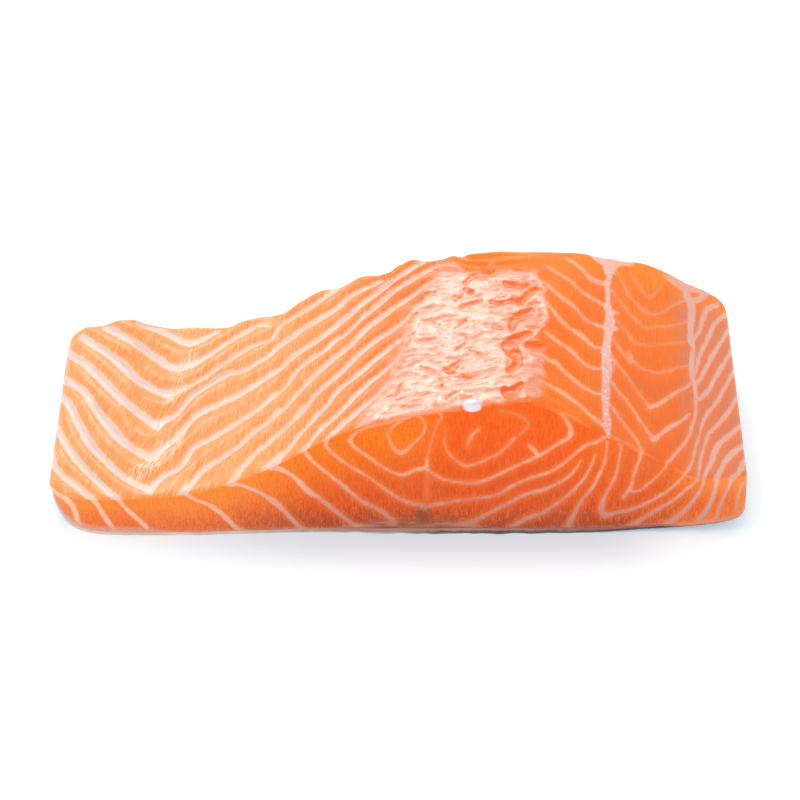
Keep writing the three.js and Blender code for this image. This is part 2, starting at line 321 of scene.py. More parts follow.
# Between the vertical septum and the second one
TOP_VEE_SEPTA = [
    (15, 0.3, [(631, 272, 0.8), (637, 282, 1.1), (646, 293, 1.1), (651, 297, 1.2), (655, 293, 1.0),
        (662, 286, 0.8)]),
    (14, 0.42, [(616, 271, 1.0), (624, 284, 1.1), (628, 293, 1.2), (637, 302, 1.1), (642, 308, 1.5),
        (651, 313, 1.2), (663, 312, 1.0), (671, 306, 1.3), (685, 300, 1.0)]),
    (13, 0.35, [(611, 287, 0.9), (619, 299, 1.1), (631, 313, 1.2), (640, 323, 1.2), (646, 327, 1.2),
        (663, 326, 1.0), (678, 324, 0.9), (688, 321, 1.2)]),
    (12, 0.25, [(613, 315, 1.2), (622, 325, 1.2), (631, 335, 1.0), (637, 343, 0.9), (653, 345, 0.8),
        (670, 343, 0.8), (685, 342, 1.0)]),
    (11, 0.42, [(610, 332, 1.2), (619, 346, 1.2), (628, 357, 1.6), (636, 362, 1.2), (642, 367, 1.0),
        (657, 372, 1.0), (664, 371, 1.3), (672, 370, 1.2), (677, 367, 0.9), (688, 366, 0.8)]),
    (10, 0.42, [(611, 352, 1.1), (619, 365, 1.2), (628, 376, 1.1), (637, 389, 1.0), (646, 400, 1.2),
        (650, 406, 1.8)]),
    (10, 0.85, [(650, 406, 2.2), (660, 403, 1.8), (667, 398, 2.2), (678, 391, 1.6), (687, 387, 1.3),
        (692, 382, 1.2)]),
    (9, 0.6, [(610, 379, 1.2), (618, 389, 1.3), (628, 401, 1.2), (638, 416, 1.2), (646, 428, 1.2),
        (654, 439, 2.2)]),
    (9, 0.9, [(654, 439, 2.6), (661, 434, 2.0), (670, 427, 2.3), (682, 420, 1.7), (689, 414, 1.6)]),
    (8, 0.6, [(609, 401, 1.2), (619, 416, 1.2), (628, 428, 1.2), (637, 441, 1.3), (641, 449, 1.8)]),
    (8, 0.85, [(669, 461, 1.2), (672, 458, 1.3), (679, 450, 1.6), (688, 438, 1.6), (693, 424, 1.4),
        (696, 410, 1.4), (696, 399, 1.6)]),
    (7, 0.35, [(609, 434, 0.8), (619, 440, 0.9), (640, 449, 1.0)]),
]
# The strip along the back
TOP_STRIP_SEPTA = [
    (11, 0.95, [(718, 304, 2.2), (709, 308, 2.4), (705, 314, 2.4), (702, 323, 2.3), (699, 332, 2.1),
        (694, 339, 1.8)]),
    (10, 0.95, [(725, 315, 2.0), (715, 323, 2.2), (711, 332, 2.2), (705, 344, 2.2), (700, 355, 2.0),
        (697, 367, 1.7), (694, 377, 1.4)]),
    (9, 0.95, [(728, 331, 2.0), (720, 344, 2.2), (712, 356, 2.4), (706, 368, 2.3), (700, 379, 2.0),
        (695, 387, 1.6)]),
    (8, 0.95, [(731, 352, 2.0), (721, 368, 2.2), (714, 380, 2.2), (707, 392, 2.2), (700, 398, 2.0),
        (696, 400, 1.6)]),
    (7, 0.9, [(734, 371, 2.0), (724, 389, 2.0), (717, 402, 2.0), (708, 413, 1.9), (703, 422, 1.7),
        (699, 437, 1.4), (695, 450, 1.3), (692, 463, 1.3), (685, 474, 1.5)]),
    (6, 0.9, [(737, 397, 2.0), (729, 411, 2.2), (718, 424, 2.2), (709, 433, 1.9), (704, 446, 1.7),
        (701, 458, 1.5), (698, 478, 1.5)]),
    (5, 0.95, [(739, 427, 2.2), (728, 436, 2.5), (721, 441, 2.5), (715, 450, 2.7), (711, 462, 2.3),
        (706, 472, 2.0), (704, 479, 1.8)]),
    (4, 0.95, [(743, 446, 2.6), (733, 452, 3.0), (727, 458, 2.7), (722, 467, 2.5), (717, 477, 2.6)]),
    (3, 0.95, [(744, 462, 2.8), (739, 472, 2.8), (732, 478, 2.6)]),
]
# On the near cut face
NEAR_SEPTA = [
    (5, 0.9, [(55, 490, 3.0), (61, 495, 3.0), (66, 499, 2.8), (71, 505, 2.6), (75, 514, 2.4),
        (79, 527, 2.4)]),
    (6, 0.9, [(86, 493, 2.4), (91, 498, 2.4), (96, 504, 2.4), (102, 513, 2.2), (108, 522, 2.2),
        (113, 530, 2.2)]),
    (7, 0.9, [(112, 492, 2.3), (118, 499, 2.3), (125, 508, 2.0), (136, 518, 1.9), (147, 528, 2.0)]),
    (7, 0.85, [(176, 487, 2.6), (184, 492, 2.8), (194, 499, 1.6), (209, 505, 1.9), (218, 511, 2.5),
        (226, 518, 2.3), (234, 526, 2.0), (240, 531, 2.0)]),
    (6, 0.85, [(223, 482, 2.6), (230, 484, 2.8), (239, 485, 1.8), (250, 489, 1.8), (260, 493, 1.8),
        (270, 499, 2.4), (277, 504, 2.8), (286, 513, 2.0), (296, 524, 2.0), (303, 529, 2.0)]),
    (5, 0.8, [(263, 464, 2.8), (270, 467, 3.0), (279, 469, 2.4), (289, 474, 2.0), (296, 479, 2.2),
        (303, 486, 2.8), (309, 492, 2.7), (320, 499, 2.0), (334, 510, 1.9), (347, 520, 1.8),
        (358, 527, 1.8)]),
    (4, 0.8, [(304, 450, 2.8), (308, 456, 2.0), (314, 463, 1.8), (323, 470, 1.7), (332, 477, 1.7),
        (341, 484, 1.8), (351, 493, 1.9), (364, 503, 2.0), (377, 509, 2.0), (387, 516, 1.9),
        (395, 523, 2.0)]),
    (3, 0.75, [(327, 440, 2.8), (326, 446, 1.8), (331, 452, 1.6), (338, 458, 1.5), (351, 467, 1.4),
        (368, 477, 1.4), (383, 488, 1.4), (396, 497, 1.6), (409, 503, 1.9), (418, 505, 2.4),
        (425, 508, 3.2)]),
    (2, 0.7, [(350, 440, 2.2), (353, 446, 1.8), (361, 452, 1.6), (370, 458, 1.5), (381, 466, 1.5),
        (394, 473, 1.5), (404, 475, 1.6), (415, 470, 1.6), (422, 469, 2.0), (427, 468, 1.8)]),
    (1, 0.55, [(415, 414, 1.8), (422, 419, 1.4), (425, 427, 1.2), (423, 434, 1.2), (415, 442, 1.2),
        (408, 449, 1.6), (402, 453, 2.4), (396, 451, 1.8), (390, 443, 1.4), (388, 435, 1.4),
        (392, 428, 1.2), (402, 421, 1.2), (409, 417, 1.4), (415, 414, 1.8)]),
    (1, 0.5, [(445, 431, 0.7), (445, 445, 1.0), (450, 455, 1.3), (460, 463, 1.3), (467, 466, 1.3),
        (478, 463, 1.3), (489, 458, 1.2), (499, 453, 1.2), (508, 445, 1.3), (514, 439, 2.0)]),
    (1, 0.35, [(500, 411, 1.0), (514, 413, 1.1), (523, 417, 1.1), (528, 423, 1.0), (526, 429, 0.9),
        (519, 435, 0.8)]),
    (2, 0.65, [(427, 469, 1.6), (433, 474, 1.4), (445, 480, 1.4), (456, 482, 1.4), (471, 483, 1.5),
        (486, 480, 1.4), (499, 474, 1.4), (512, 468, 1.4), (527, 461, 1.4), (536, 457, 1.6),
        (547, 451, 1.4), (560, 442, 1.5), (568, 438, 2.2), (571, 431, 2.5), (568, 423, 1.8),
        (560, 413, 1.4), (551, 405, 1.5), (542, 400, 1.5), (528, 401, 1.0)]),
    (3, 0.7, [(425, 508, 2.8), (431, 506, 1.6), (445, 503, 1.5), (461, 500, 1.4), (482, 498, 1.5),
        (499, 494, 1.5), (512, 486, 1.5), (523, 481, 1.4), (536, 476, 1.5), (549, 472, 1.4),
        (564, 463, 1.3), (579, 450, 1.3), (588, 444, 1.3), (598, 441, 1.6), (608, 434, 2.0)]),
    (4, 0.75, [(461, 524, 1.8), (474, 521, 2.2), (489, 513, 1.8), (508, 503, 1.7), (527, 494, 1.8),
        (545, 489, 1.6), (560, 482, 1.4), (570, 475, 1.2), (577, 467, 1.1), (581, 460, 0.7)]),
    (5, 0.75, [(510, 528, 2.2), (527, 518, 2.0), (542, 513, 1.9), (555, 505, 1.6), (568, 495, 1.4),
        (581, 482, 1.2), (590, 468, 1.1), (595, 454, 0.9)]),
    (6, 0.75, [(567, 529, 2.8), (572, 518, 2.2), (581, 501, 1.7), (592, 488, 1.5), (600, 473, 1.3),
        (605, 460, 1.1), (607, 442, 1.0)]),
    (7, 0.65, [(609, 433, 1.2), (617, 439, 1.2), (621, 448, 1.2), (619, 460, 1.1), (617, 471, 1.2),
        (613, 481, 1.2), (607, 492, 1.4), (603, 500, 2.2), (601, 510, 3.0), (604, 515, 3.2)]),
    (7, 0.8, [(604, 515, 2.6), (611, 514, 1.8), (619, 512, 1.7), (630, 510, 1.6), (643, 505, 1.6),
        (656, 498, 1.5), (669, 490, 1.4), (679, 481, 1.4), (685, 474, 1.7)]),
    (8, 0.7, [(641, 449, 1.8), (640, 458, 1.6), (636, 468, 1.4), (633, 478, 1.4), (631, 486, 2.0),
        (628, 491, 2.2), (623, 497, 1.4)]),
    (8, 0.75, [(628, 490, 1.8), (637, 491, 1.2), (644, 487, 1.2), (654, 479, 1.3), (663, 470, 1.2),
        (669, 461, 1.6)]),
    (6, 0.8, [(698, 478, 1.6), (695, 483, 1.4), (687, 489, 1.5), (679, 496, 1.5), (666, 505, 1.8),
        (650, 514, 1.7), (639, 521, 2.4), (630, 527, 2.6)]),
    (5, 0.85, [(704, 479, 1.6), (702, 487, 1.6), (697, 496, 2.0), (687, 508, 2.2), (677, 517, 2.5),
        (668, 524, 3.2)]),
    (4, 0.9, [(717, 477, 2.8), (716, 487, 2.4), (712, 499, 2.2), (707, 510, 2.3), (698, 521, 2.8)]),
    (3, 0.85, [(732, 478, 2.8), (728, 488, 2.0), (723, 499, 1.8), (718, 513, 1.7), (715, 520, 1.6)]),
    (2, 0.55, [(743, 483, 1.8), (739, 494, 1.8), (736, 510, 2.0)]),
]
# Levels away from the septa: under the film, where they meet along the middle of the fish, and
# on the crests and hollows between two septa of the same level
FILM_LEVELS = [(9.3, (462, 262)), (5.5, (448, 330)), (1.5, (441, 400)), (0.5, (480, 404)), (1.2, (520, 400))]
NEAR_CRESTS = [
    (7.7, (150, 500)), (7.8, (195, 520)), (0.4, (406, 432)), (0.3, (482, 432)), (1.4, (434, 430)),
    (1.6, (431, 445)), (8.7, (655, 456)), (8.4, (636, 485)), (7.4, (611, 503)), (2.6, (440, 492)),
    (2.6, (590, 432)),
]

# Fat between the big muscles, with the whiteness of each
VERTICAL_SEPTUM = [
    (610, 269, 7.0), (610, 274, 2.6), (608, 283, 3.0), (608, 297, 1.9), (608, 306, 3.2), (610, 313, 4.6),
    (610, 326, 5.0), (608, 338, 3.9), (606, 353, 4.3), (607, 368, 5.2), (606, 383, 4.0), (606, 395, 4.3),
    (606, 410, 3.5), (607, 421, 3.4), (608, 434, 1.9),
]
# The second one's foot, behind the strip's lowest septa, and the septum itself
SECOND_FOOT = [(669, 461), (679, 450), (688, 438), (693, 424)]
SECOND_SEPTUM = [
    (686, 292, 3.0), (691, 303, 3.9), (692, 313, 3.8), (691, 323, 3.2), (691, 338, 3.3), (693, 347, 2.5),
    (692, 359, 2.8), (692, 375, 2.4), (694, 383, 2.0), (696, 398, 2.0),
]
TOP_BANDS = [
    (1.0, VERTICAL_SEPTUM),
    (0.95, SECOND_SEPTUM),
    (1.0, [(592, 255, 1.5), (600, 259, 3.5), (610, 262, 6.5), (622, 262, 4.0), (632, 264, 1.5)]),
    (0.9, [(664, 275, 1.5), (675, 281, 3.0), (685, 287, 4.5), (697, 290, 3.0), (707, 293, 2.6),
        (701, 298, 3.0), (691, 300, 3.0)]),
    (0.75, [(610, 309, 2.0), (617, 313, 1.6)]),
    (0.8, [(611, 324, 2.0), (617, 329, 1.8)]),
    (0.5, [(609, 356, 1.6), (615, 361, 1.4), (613, 370, 1.0)]),
    (0.5, [(628, 333, 0.8), (631, 338, 1.5), (635, 341, 0.8)]),
    (0.55, [(629, 352, 0.8), (632, 358, 1.5), (630, 363, 0.8)]),
    (0.3, [(495, 264, 1.8), (490, 264, 1.8)]),
]
NEAR_MARKS = [
    (0.5, [(479, 429, 0.9), (473, 434, 2.0), (469, 440, 1.8), (467, 446, 0.8)]),
    (0.7, [(529, 445, 1.2), (534, 450, 1.9), (538, 455, 2.0)]),
    (0.6, [(349, 441, 2.0), (356, 433, 1.5), (369, 427, 1.3), (386, 423, 1.3), (404, 418, 1.3),
        (414, 415, 1.5)]),
    (0.85, [(441, 405, 1.0), (440, 412, 1.3), (442, 418, 0.9)]),
    (0.3, [(441, 418, 1.0), (438, 423, 1.2), (434, 432, 1.0), (430, 446, 1.0), (427, 458, 1.2)]),
    (0.95, [(427, 459, 1.4), (427, 470, 1.7)]),
    (0.2, [(427, 471, 0.8), (427, 490, 0.8), (425, 506, 1.0)]),
]

# The pale film over the thick part: its outline, the tears that show flesh, and its raised folds and spots,
# which are painted pale as highlights
FILM = [
    (443, 270), (464, 271), (496, 271), (535, 268), (541, 280), (548, 296), (548, 320), (538, 338),
    (546, 350), (545, 376), (545, 393), (538, 400), (510, 403), (440, 410), (400, 418), (358, 430),
    (370, 406), (386, 386), (395, 362), (404, 335), (414, 303), (428, 284),
]
TEARS = [
    [(465, 283, 1.8), (475, 276, 2.7), (492, 274, 1.8)],
    [(465, 289, 2.0), (471, 292, 2.6)],
    [(460, 307, 0.9), (470, 304, 1.5), (481, 300, 0.8)],
    [(420, 302, 0.7), (427, 294, 1.4), (435, 292, 0.8)],
    [(407, 320, 0.7), (413, 316, 1.0), (418, 313, 0.6)],
    [(409, 322, 0.9), (411, 331, 0.9)],
    [(421, 366, 0.9), (427, 369, 1.3), (434, 370, 0.9)],
    [(445, 369, 2.2), (449, 371, 3.0), (455, 366, 3.2), (459, 361, 1.3)],
    [(462, 375, 1.0), (467, 378, 1.7), (471, 378, 0.9)],
    [(440, 379, 0.8), (443, 389, 1.1)],
    [(446, 399, 0.7), (452, 395, 0.9), (458, 392, 0.6)],
    [(461, 399, 0.7), (471, 397, 0.9)],
    [(402, 381, 0.8), (398, 388, 1.7), (395, 394, 1.0)],
    [(405, 359, 0.7), (400, 363, 1.2), (398, 368, 0.9)],
    [(415, 332, 0.7), (409, 339, 1.1), (406, 346, 0.9)],
    [(505, 283, 1.0), (513, 285, 2.0), (528, 286, 1.7)],
    [(508, 301, 1.0), (516, 301, 2.3), (523, 300, 2.6), (529, 294, 2.2), (536, 289, 1.3)],
    [(512, 328, 2.0), (514, 321, 3.8), (521, 316, 4.6), (531, 311, 2.6)],
    [(531, 334, 1.4), (522, 336, 2.4), (513, 341, 3.6), (506, 345, 3.6), (512, 351, 5.2), (518, 359, 3.8),
        (516, 366, 3.2), (509, 371, 2.0)],
    [(527, 345, 1.6), (534, 345, 2.6), (542, 346, 1.8)],
    [(505, 391, 3.2), (510, 395, 4.2), (516, 390, 3.8), (521, 385, 1.8)],
    [(491, 301, 0.6), (500, 303, 1.0), (507, 301, 0.8)],
    [(494, 327, 1.0), (501, 328, 0.6)],
    [(469, 350, 0.6), (480, 354, 0.8)],
    [(466, 337, 0.6), (465, 344, 0.8), (456, 350, 1.0)],
    [(455, 328, 0.6), (466, 320, 0.9)],
    [(432, 321, 0.5), (440, 325, 0.6)],
    [(455, 301, 0.8), (462, 294, 0.6)],
]
FOLDS_AND_HIGHLIGHTS = [
    [(534, 279, 1.6), (541, 283, 2.6), (545, 291, 2.6)],
    [(527, 303, 1.2), (534, 298, 2.2), (541, 300, 2.6), (546, 308, 2.6), (547, 318, 2.4), (543, 328, 2.4),
        (535, 335, 2.0), (525, 341, 1.2)],
    [(508, 336, 1.2), (519, 333, 1.6), (528, 330, 1.4)],
    [(500, 350, 1.0), (504, 358, 2.0), (503, 369, 1.6)],
    [(480, 331, 2.0), (484, 331, 2.4), (488, 331, 1.8)],
    [(440, 399, 3.0), (440, 402, 3.0)],
    [(443, 374, 2.2), (446, 377, 1.8)],
    [(516, 396, 1.6), (518, 393, 1.2)],
    [(523, 392, 1.6), (525, 397, 1.2)],
    [(493, 366, 1.4), (498, 367, 1.0)],
    [(463, 391, 1.6), (478, 389, 2.4), (494, 388, 1.8)],
    [(447, 402, 1.0), (455, 397, 1.6), (463, 393, 1.2)],
    [(510, 391, 0.9), (512, 392, 0.8)],
]
# Places where a white sheen is painted on the fibres, along the line where the flakes turn
SHEEN_STREAKS = [
    [(197, 358, 4.0), (186, 364, 9.0), (176, 372, 5.0)],
    [(184, 388, 5.0), (173, 395, 7.0), (168, 403, 4.0)],
    [(160, 424, 6.0), (154, 430, 4.0)],
    [(180, 434, 5.0), (170, 445, 9.0), (160, 452, 9.0), (150, 466, 7.0), (132, 476, 6.0)],
]

# The nub of a bone on the top edge: its middle and half sizes in pixels, and its height in mm
BEAD = {"px": 472.5, "py": 406, "half_width": 10.5, "half_height": 6.6, "height": 0.8}


def through(points):
    """A smooth curve through points, each an argument and a value, that never overshoots them."""
    x, y = np.array(points, float).T
    slopes = np.diff(y) / np.diff(x)
    product = slopes[:-1] * slopes[1:]
    same_way = product > 0
    total = np.where(same_way, slopes[:-1] + slopes[1:], 1)
    tangents = np.concatenate([slopes[:1], np.where(same_way, 2 * product / total, 0), slopes[-1:]])

    def curve(at):
        at = np.clip(at, x[0], x[-1])
        i = np.clip(np.searchsorted(x, at, side="right") - 1, 0, len(x) - 2)
        span = x[i + 1] - x[i]
        t = (at - x[i]) / span
        rest = 1 - t
        return (y[i] * rest ** 2 * (1 + 2 * t) + y[i + 1] * t ** 2 * (3 - 2 * t)
                + span * t * rest * (tangents[i] * rest - tangents[i + 1] * t))

    return curve


def rise(value, low, high):
    """0 below low and 1 above high, with a smooth step between."""
    t = np.clip((value - low) / (high - low), 0, 1)
    return t * t * (3 - 2 * t)


def hump(value, start, full, fall, end):
    """0 before start and after end, 1 from full to fall, with smooth steps between."""
    return rise(value, start, full) * (1 - rise(value, fall, end))


near_height = through(NEAR_HEIGHTS)
far_height = through(FAR_HEIGHTS)
underside = through(UNDERSIDE)
cut_width = through(CUT_WIDTHS)


def setback(x, belly_radius):
    """How far the outline draws in at X, where its belly corner has this radius."""
    radius = np.where(x < 0, belly_radius, BACK_CORNER)
    inwards = np.clip(HALF_LENGTH - np.abs(x), 0, radius)
    return radius - np.sqrt(radius ** 2 - (radius - inwards) ** 2)


def near_face(x, share):
    """Y of the near face at a share of its height."""
    along = np.exp(-((x - SWELL_MIDDLE) / SWELL_REACH) ** 2)
    up = 1 - (share - SWELL_LOW) ** 2
    corner = NEAR_BELLY_FOOT + (NEAR_BELLY_CORNER - NEAR_BELLY_FOOT) * share
    return -HALF_DEPTH + SWELL * (1 - along * up) + setback(x, corner)


def far_face(x):
    """Y of the far face, which stands upright."""
    return HALF_DEPTH - setback(x, FAR_BELLY_CORNER)


def slab_height(x, y):
    """Z of the plain top, between the heights of the two faces."""
    share = (y + HALF_DEPTH) / DEPTH
    inwards = np.clip(HALF_LENGTH - np.abs(x), 0, END_ROUND)
    drop = END_ROUND - np.sqrt(END_ROUND ** 2 - (END_ROUND - inwards) ** 2)
    return near_height(x) * (1 - share) + far_height(x) * share - drop


def flesh_base(x):
    """Z of the flesh's foot, a little inside the skin."""
    return underside(x) + SKIN_THICKNESS - SKIN_OVERLAP


# The camera's rays
SIN_E = math.sin(CAMERA_ELEVATION)
COS_E = math.cos(CAMERA_ELEVATION)
PHOTO_MIDDLE = PHOTO_SIDE / 2


def project(x, y, z):
    """The photograph's pixel of a place on the fillet."""
    across, along, up = x - CAMERA_TARGET[0], y - CAMERA_TARGET[1], z - CAMERA_TARGET[2]
    distance = CAMERA_DISTANCE + along * COS_E - up * SIN_E
    return (PHOTO_MIDDLE + FOCAL_PX * across / distance,
            PHOTO_MIDDLE - FOCAL_PX * (along * SIN_E + up * COS_E) / distance)


def on_plane(px, py, y):
    """X and Z where a pixel's ray meets the plane at Y."""
    slope = (PHOTO_MIDDLE - py) / FOCAL_PX
    along = y - CAMERA_TARGET[1]
    up = (slope * (CAMERA_DISTANCE + along * COS_E) - along * SIN_E) / (COS_E + slope * SIN_E)
    distance = CAMERA_DISTANCE + along * COS_E - up * SIN_E
    return (px - PHOTO_MIDDLE) / FOCAL_PX * distance + CAMERA_TARGET[0], up + CAMERA_TARGET[2]


def on_top(px, py):
    """X and Y where a pixel's ray meets the top, or the plane of the top carried on past its edges."""
    near, far = -HALF_DEPTH - TOP_MARGIN, HALF_DEPTH + TOP_MARGIN
    for _ in range(RAY_STEPS):
        middle = (near + far) / 2
        x, z = on_plane(px, py, middle)
        if z > slab_height(x, np.clip(middle, -HALF_DEPTH, HALF_DEPTH)):
            near = middle
        else:
            far = middle
    return x, middle


def on_near(px, py):
    """X and Z where a pixel's ray meets the near cut face."""
    y = -HALF_DEPTH + SWELL
    for _ in range(FACE_STEPS):
        x, z = on_plane(px, py, y)
        low = flesh_base(x)
        share = (z - low) / (slab_height(x, y) - low)
        y = near_face(x, np.clip(share, 0, 1))
    return x, z


def plate_kernel(a, b):
    """How much each place of one set is moved by each of the other."""
    square = ((a[:, None, :] - b[None, :, :]) ** 2).sum(2)
    return 0.5 * square * np.log(np.maximum(square, TINY))


def thin_plate(points, values, softness=0.02):
    """A smooth surface over the plane that passes (nearly) through the values at the points."""
    points = np.array(points, float)
    count = len(points)
    system = np.zeros((count + 3, count + 3))
    system[:count, :count] = plate_kernel(points, points) + softness * np.eye(count)
    system[:count, count] = 1
    system[:count, count + 1:] = points
    system[count:, :count] = system[:count, count:].T
    weights = np.linalg.solve(system, np.concatenate([values, np.zeros(3)]))

    def surface(x, y):
        flat = np.column_stack([np.ravel(x), np.ravel(y)])
        result = np.empty(len(flat))
        for start in range(0, len(flat), CHUNK):
            part = flat[start:start + CHUNK]
            result[start:start + CHUNK] = (plate_kernel(part, points) @ weights[:count] + weights[count]
                                           + part @ weights[count + 1:])
        return result.reshape(np.shape(x))

    return surface


def gathered(septa, place, extra=()):
    """Points and levels of septa, with each pixel carried onto the surface by place."""
    placed = [(level, step[:2]) for level, _, route in septa for step in route]
    placed += extra
    return [place(*pixel) for _, pixel in placed], [level for level, _ in placed]


left_levels = thin_plate(*gathered(TOP_LEFT_SEPTA, on_top, FILM_LEVELS), 1.0)
vee_levels = thin_plate(*gathered(TOP_VEE_SEPTA, on_top))
strip_levels = thin_plate(*gathered(TOP_STRIP_SEPTA, on_top))
near_levels = thin_plate(*gathered(NEAR_SEPTA, on_near, NEAR_CRESTS))


def boundary(route):
    """X along a route of pixels as a function of Y."""
    places = sorted((on_top(step[0], step[1]) for step in route), key=lambda place: place[1])
    return through([(y, x) for x, y in places])


septum_line = boundary(VERTICAL_SEPTUM)
second_line = boundary([*SECOND_FOOT, *SECOND_SEPTUM])


def top_level(x, y):
    left = left_levels(x, y)
    vee = vee_levels(x, y)
    strip = strip_levels(x, y)
    return np.where(x < septum_line(y), left, np.where(x < second_line(y), vee, strip))


def cut_level(x, y, share):
    """The level of the near cut face, carried through the flesh along the vertical septum."""
    on_edge = near_face(x, 1.0)
    straight = x - (septum_line(y) - septum_line(on_edge)) * hump(x, *FOLLOWING)
    low = flesh_base(straight)
    high = slab_height(straight, near_face(straight, 1.0))
    return near_levels(straight, low + (high - low) * share)


def level_at(x, y, share):
    """Which septum passes a place: a whole number on one, a fraction between two."""
    return top_level(x, y) + cut_level(x, y, share) - cut_level(x, y, 1.0)


def near_level_at(x, z, share):
    """The level on the near face, drawn to the top's own at their common edge."""
    edge_y = near_face(x, 1.0)
    edge_z = slab_height(x, edge_y)
    mismatch = top_level(x, edge_y) - near_levels(x, edge_z)
    return near_levels(x, z) + mismatch * share ** EDGE_HOLD


def smooth_route(route):
    """A route with steps between its points, on a curve that passes through them."""
    route = np.array(route, float)
    padded = np.vstack([2 * route[0] - route[1], route, 2 * route[-1] - route[-2]])
    steps = []
    for before, here, after, beyond in zip(padded, padded[1:], padded[2:], padded[3:]):
        for t in np.arange(ROUTE_STEPS) / ROUTE_STEPS:
            steps.append(0.5 * (2 * here + (after - before) * t
                                + (2 * before - 5 * here + 4 * after - beyond) * t ** 2
                                + (3 * here - before - 3 * after + beyond) * t ** 3))
    steps.append(route[-1])
    return steps


def stroke_depth(px, py, routes):
    """How deep each place lies inside the strokes along routes, in mm and negative outside, and which."""
    depth = np.full(px.shape, -STROKE_REACH)
    which = np.zeros(px.shape, int)
    for number, route in enumerate(routes):
        steps = smooth_route(route)
        for (ax, ay, aw), (bx, by, bw) in zip(steps, steps[1:]):
            close = np.nonzero((px > min(ax, bx) - STROKE_REACH) & (px < max(ax, bx) + STROKE_REACH)
                               & (py > min(ay, by) - STROKE_REACH) & (py < max(ay, by) + STROKE_REACH))
            x, y = px[close], py[close]
            dx, dy = bx - ax, by - ay
            t = np.clip(((x - ax) * dx + (y - ay) * dy) / max(dx * dx + dy * dy, 1e-6), 0, 1)
            inside = aw + (bw - aw) * t - np.hypot(x - ax - t * dx, y - ay - t * dy)
            better = inside > depth[close]
            rows, columns = close[0][better], close[1][better]
            depth[rows, columns] = inside[better]
            which[rows, columns] = number
    return depth / PIXELS_PER_MM, which


def near_edge_line():
    """The near upper edge in pixels."""
    x = np.linspace(-HALF_LENGTH, HALF_LENGTH, EDGE_STEPS)
    y = near_face(x, 1.0)
    return project(x, y, slab_height(x, y))


NEAR_EDGE = near_edge_line()


def past_edge(route):
    """A route whose ends at the near edge are carried on across it, so that strokes on both sides meet."""
    route = np.array(route, float)
    for end, inner in ((0, 1), (-1, -2)):
        if abs(route[end, 1] - np.interp(route[end, 0], *NEAR_EDGE)) < EDGE_REACH:
            step = route[end, :2] - route[inner, :2]
            route[end, :2] += step / np.hypot(*step) * EDGE_REACH
    return route


def inside_distance(px, py, outline):
    """Distance in mm to an outline of pixels, positive inside it."""
    away = np.full(np.shape(px), 1e9)
    inside = np.zeros(np.shape(px), bool)
    for (ax, ay), (bx, by) in zip(outline, outline[1:] + outline[:1]):
        dx, dy = bx - ax, by - ay
        t = np.clip(((px - ax) * dx + (py - ay) * dy) / (dx * dx + dy * dy), 0, 1)
        away = np.minimum(away, np.hypot(px - ax - t * dx, py - ay - t * dy))
        crosses = (ay > py) != (by > py)
        inside ^= crosses & (px < ax + dx * (py - ay) / (dy if dy else 1))
    return np.where(inside, away, -away) / PIXELS_PER_MM


def stations(start_corner, end_corner, corner_steps, count):
    """X of every cross-section, with more of them where the outline's corners turn."""
    turn = np.linspace(0, math.pi / 2, corner_steps, endpoint=False)
    start = -HALF_LENGTH + start_corner
    end = HALF_LENGTH - end_corner
    return np.concatenate([
        -HALF_LENGTH + start_corner * (1 - np.cos(turn)),
        np.linspace(start, end, count or round((end - start) / STATION_STEP)),
        HALF_LENGTH - end_corner * (1 - np.cos(turn[::-1])),
    ])[:, None]


NEAR, TOP, FAR, BASE = range(4)


def flesh_grid():
    """Cross-sections of the flesh: X, Y, Z, the share of the height and the kind of side."""
    xs = stations(NEAR_BELLY_CORNER, BACK_CORNER, CORNER_STEPS, None)
    base = flesh_base(xs)
    near_top = near_face(xs, 1.0)
    edge_z = slab_height(xs, near_top)
    rows = 1 - (1 - np.linspace(0, 1, FACE_ROWS, endpoint=False)) ** NEAR_CROWDING
    near_y = near_face(xs, rows[None, :])
    near_z = base + (edge_z - base) * rows
    across = np.linspace(0, 1, TOP_COLUMNS + 1)[None, :]
    far = far_face(xs)
    top_y = near_top + (far - near_top) * across
    top_z = slab_height(xs, top_y)
    down = 1 - np.linspace(0, 1, FAR_ROWS, endpoint=False)[None, 1:] ** FAR_CROWDING
    far_z = base + (top_z[:, -1:] - base) * down
    far_y = far + 0 * far_z
    back = np.linspace(1, 0, BASE_COLUMNS, endpoint=False)[None, :]
    base_y = near_y[:, :1] + (far - near_y[:, :1]) * back
    base_z = base + 0 * base_y
    y = np.hstack([near_y, top_y, far_y, base_y])
    z = np.hstack([near_z, top_z, far_z, base_z])
    x = xs + 0 * y
    share = np.hstack([rows[None, :] + 0 * near_y, 1 + 0 * top_y, down + 0 * far_y, 0 * base_y])
    side = np.repeat([NEAR, TOP, FAR, BASE], [FACE_ROWS, TOP_COLUMNS + 1, FAR_ROWS - 1, BASE_COLUMNS])
    return x, y, z, share, side


def rounded_edges(y, z):
    """The sections with their two long upper edges rounded, and how near each place is to an edge, which sets
    where the painted rim highlight falls.
    """
    y, z = y.copy(), z.copy()
    nearness = np.zeros(y.shape)
    step = np.hypot(np.diff(y, axis=1), np.diff(z, axis=1))
    along = np.concatenate([np.zeros((len(y), 1)), np.cumsum(step, axis=1)], axis=1)
    for corner, inward, cut in ((FACE_ROWS, 1, EDGE_CUT), (FACE_ROWS + TOP_COLUMNS, -1, FAR_EDGE_CUT)):
        away = np.abs(along - along[:, corner:corner + 1])
        close = np.clip(1 - away / EDGE_ROUND, 0, 1) ** 2
        y += inward * cut * close
        z -= cut * close
        nearness = np.maximum(nearness, np.clip(1 - away / RIM_HIGHLIGHT_REACH, 0, 1))
    return y, z, nearness


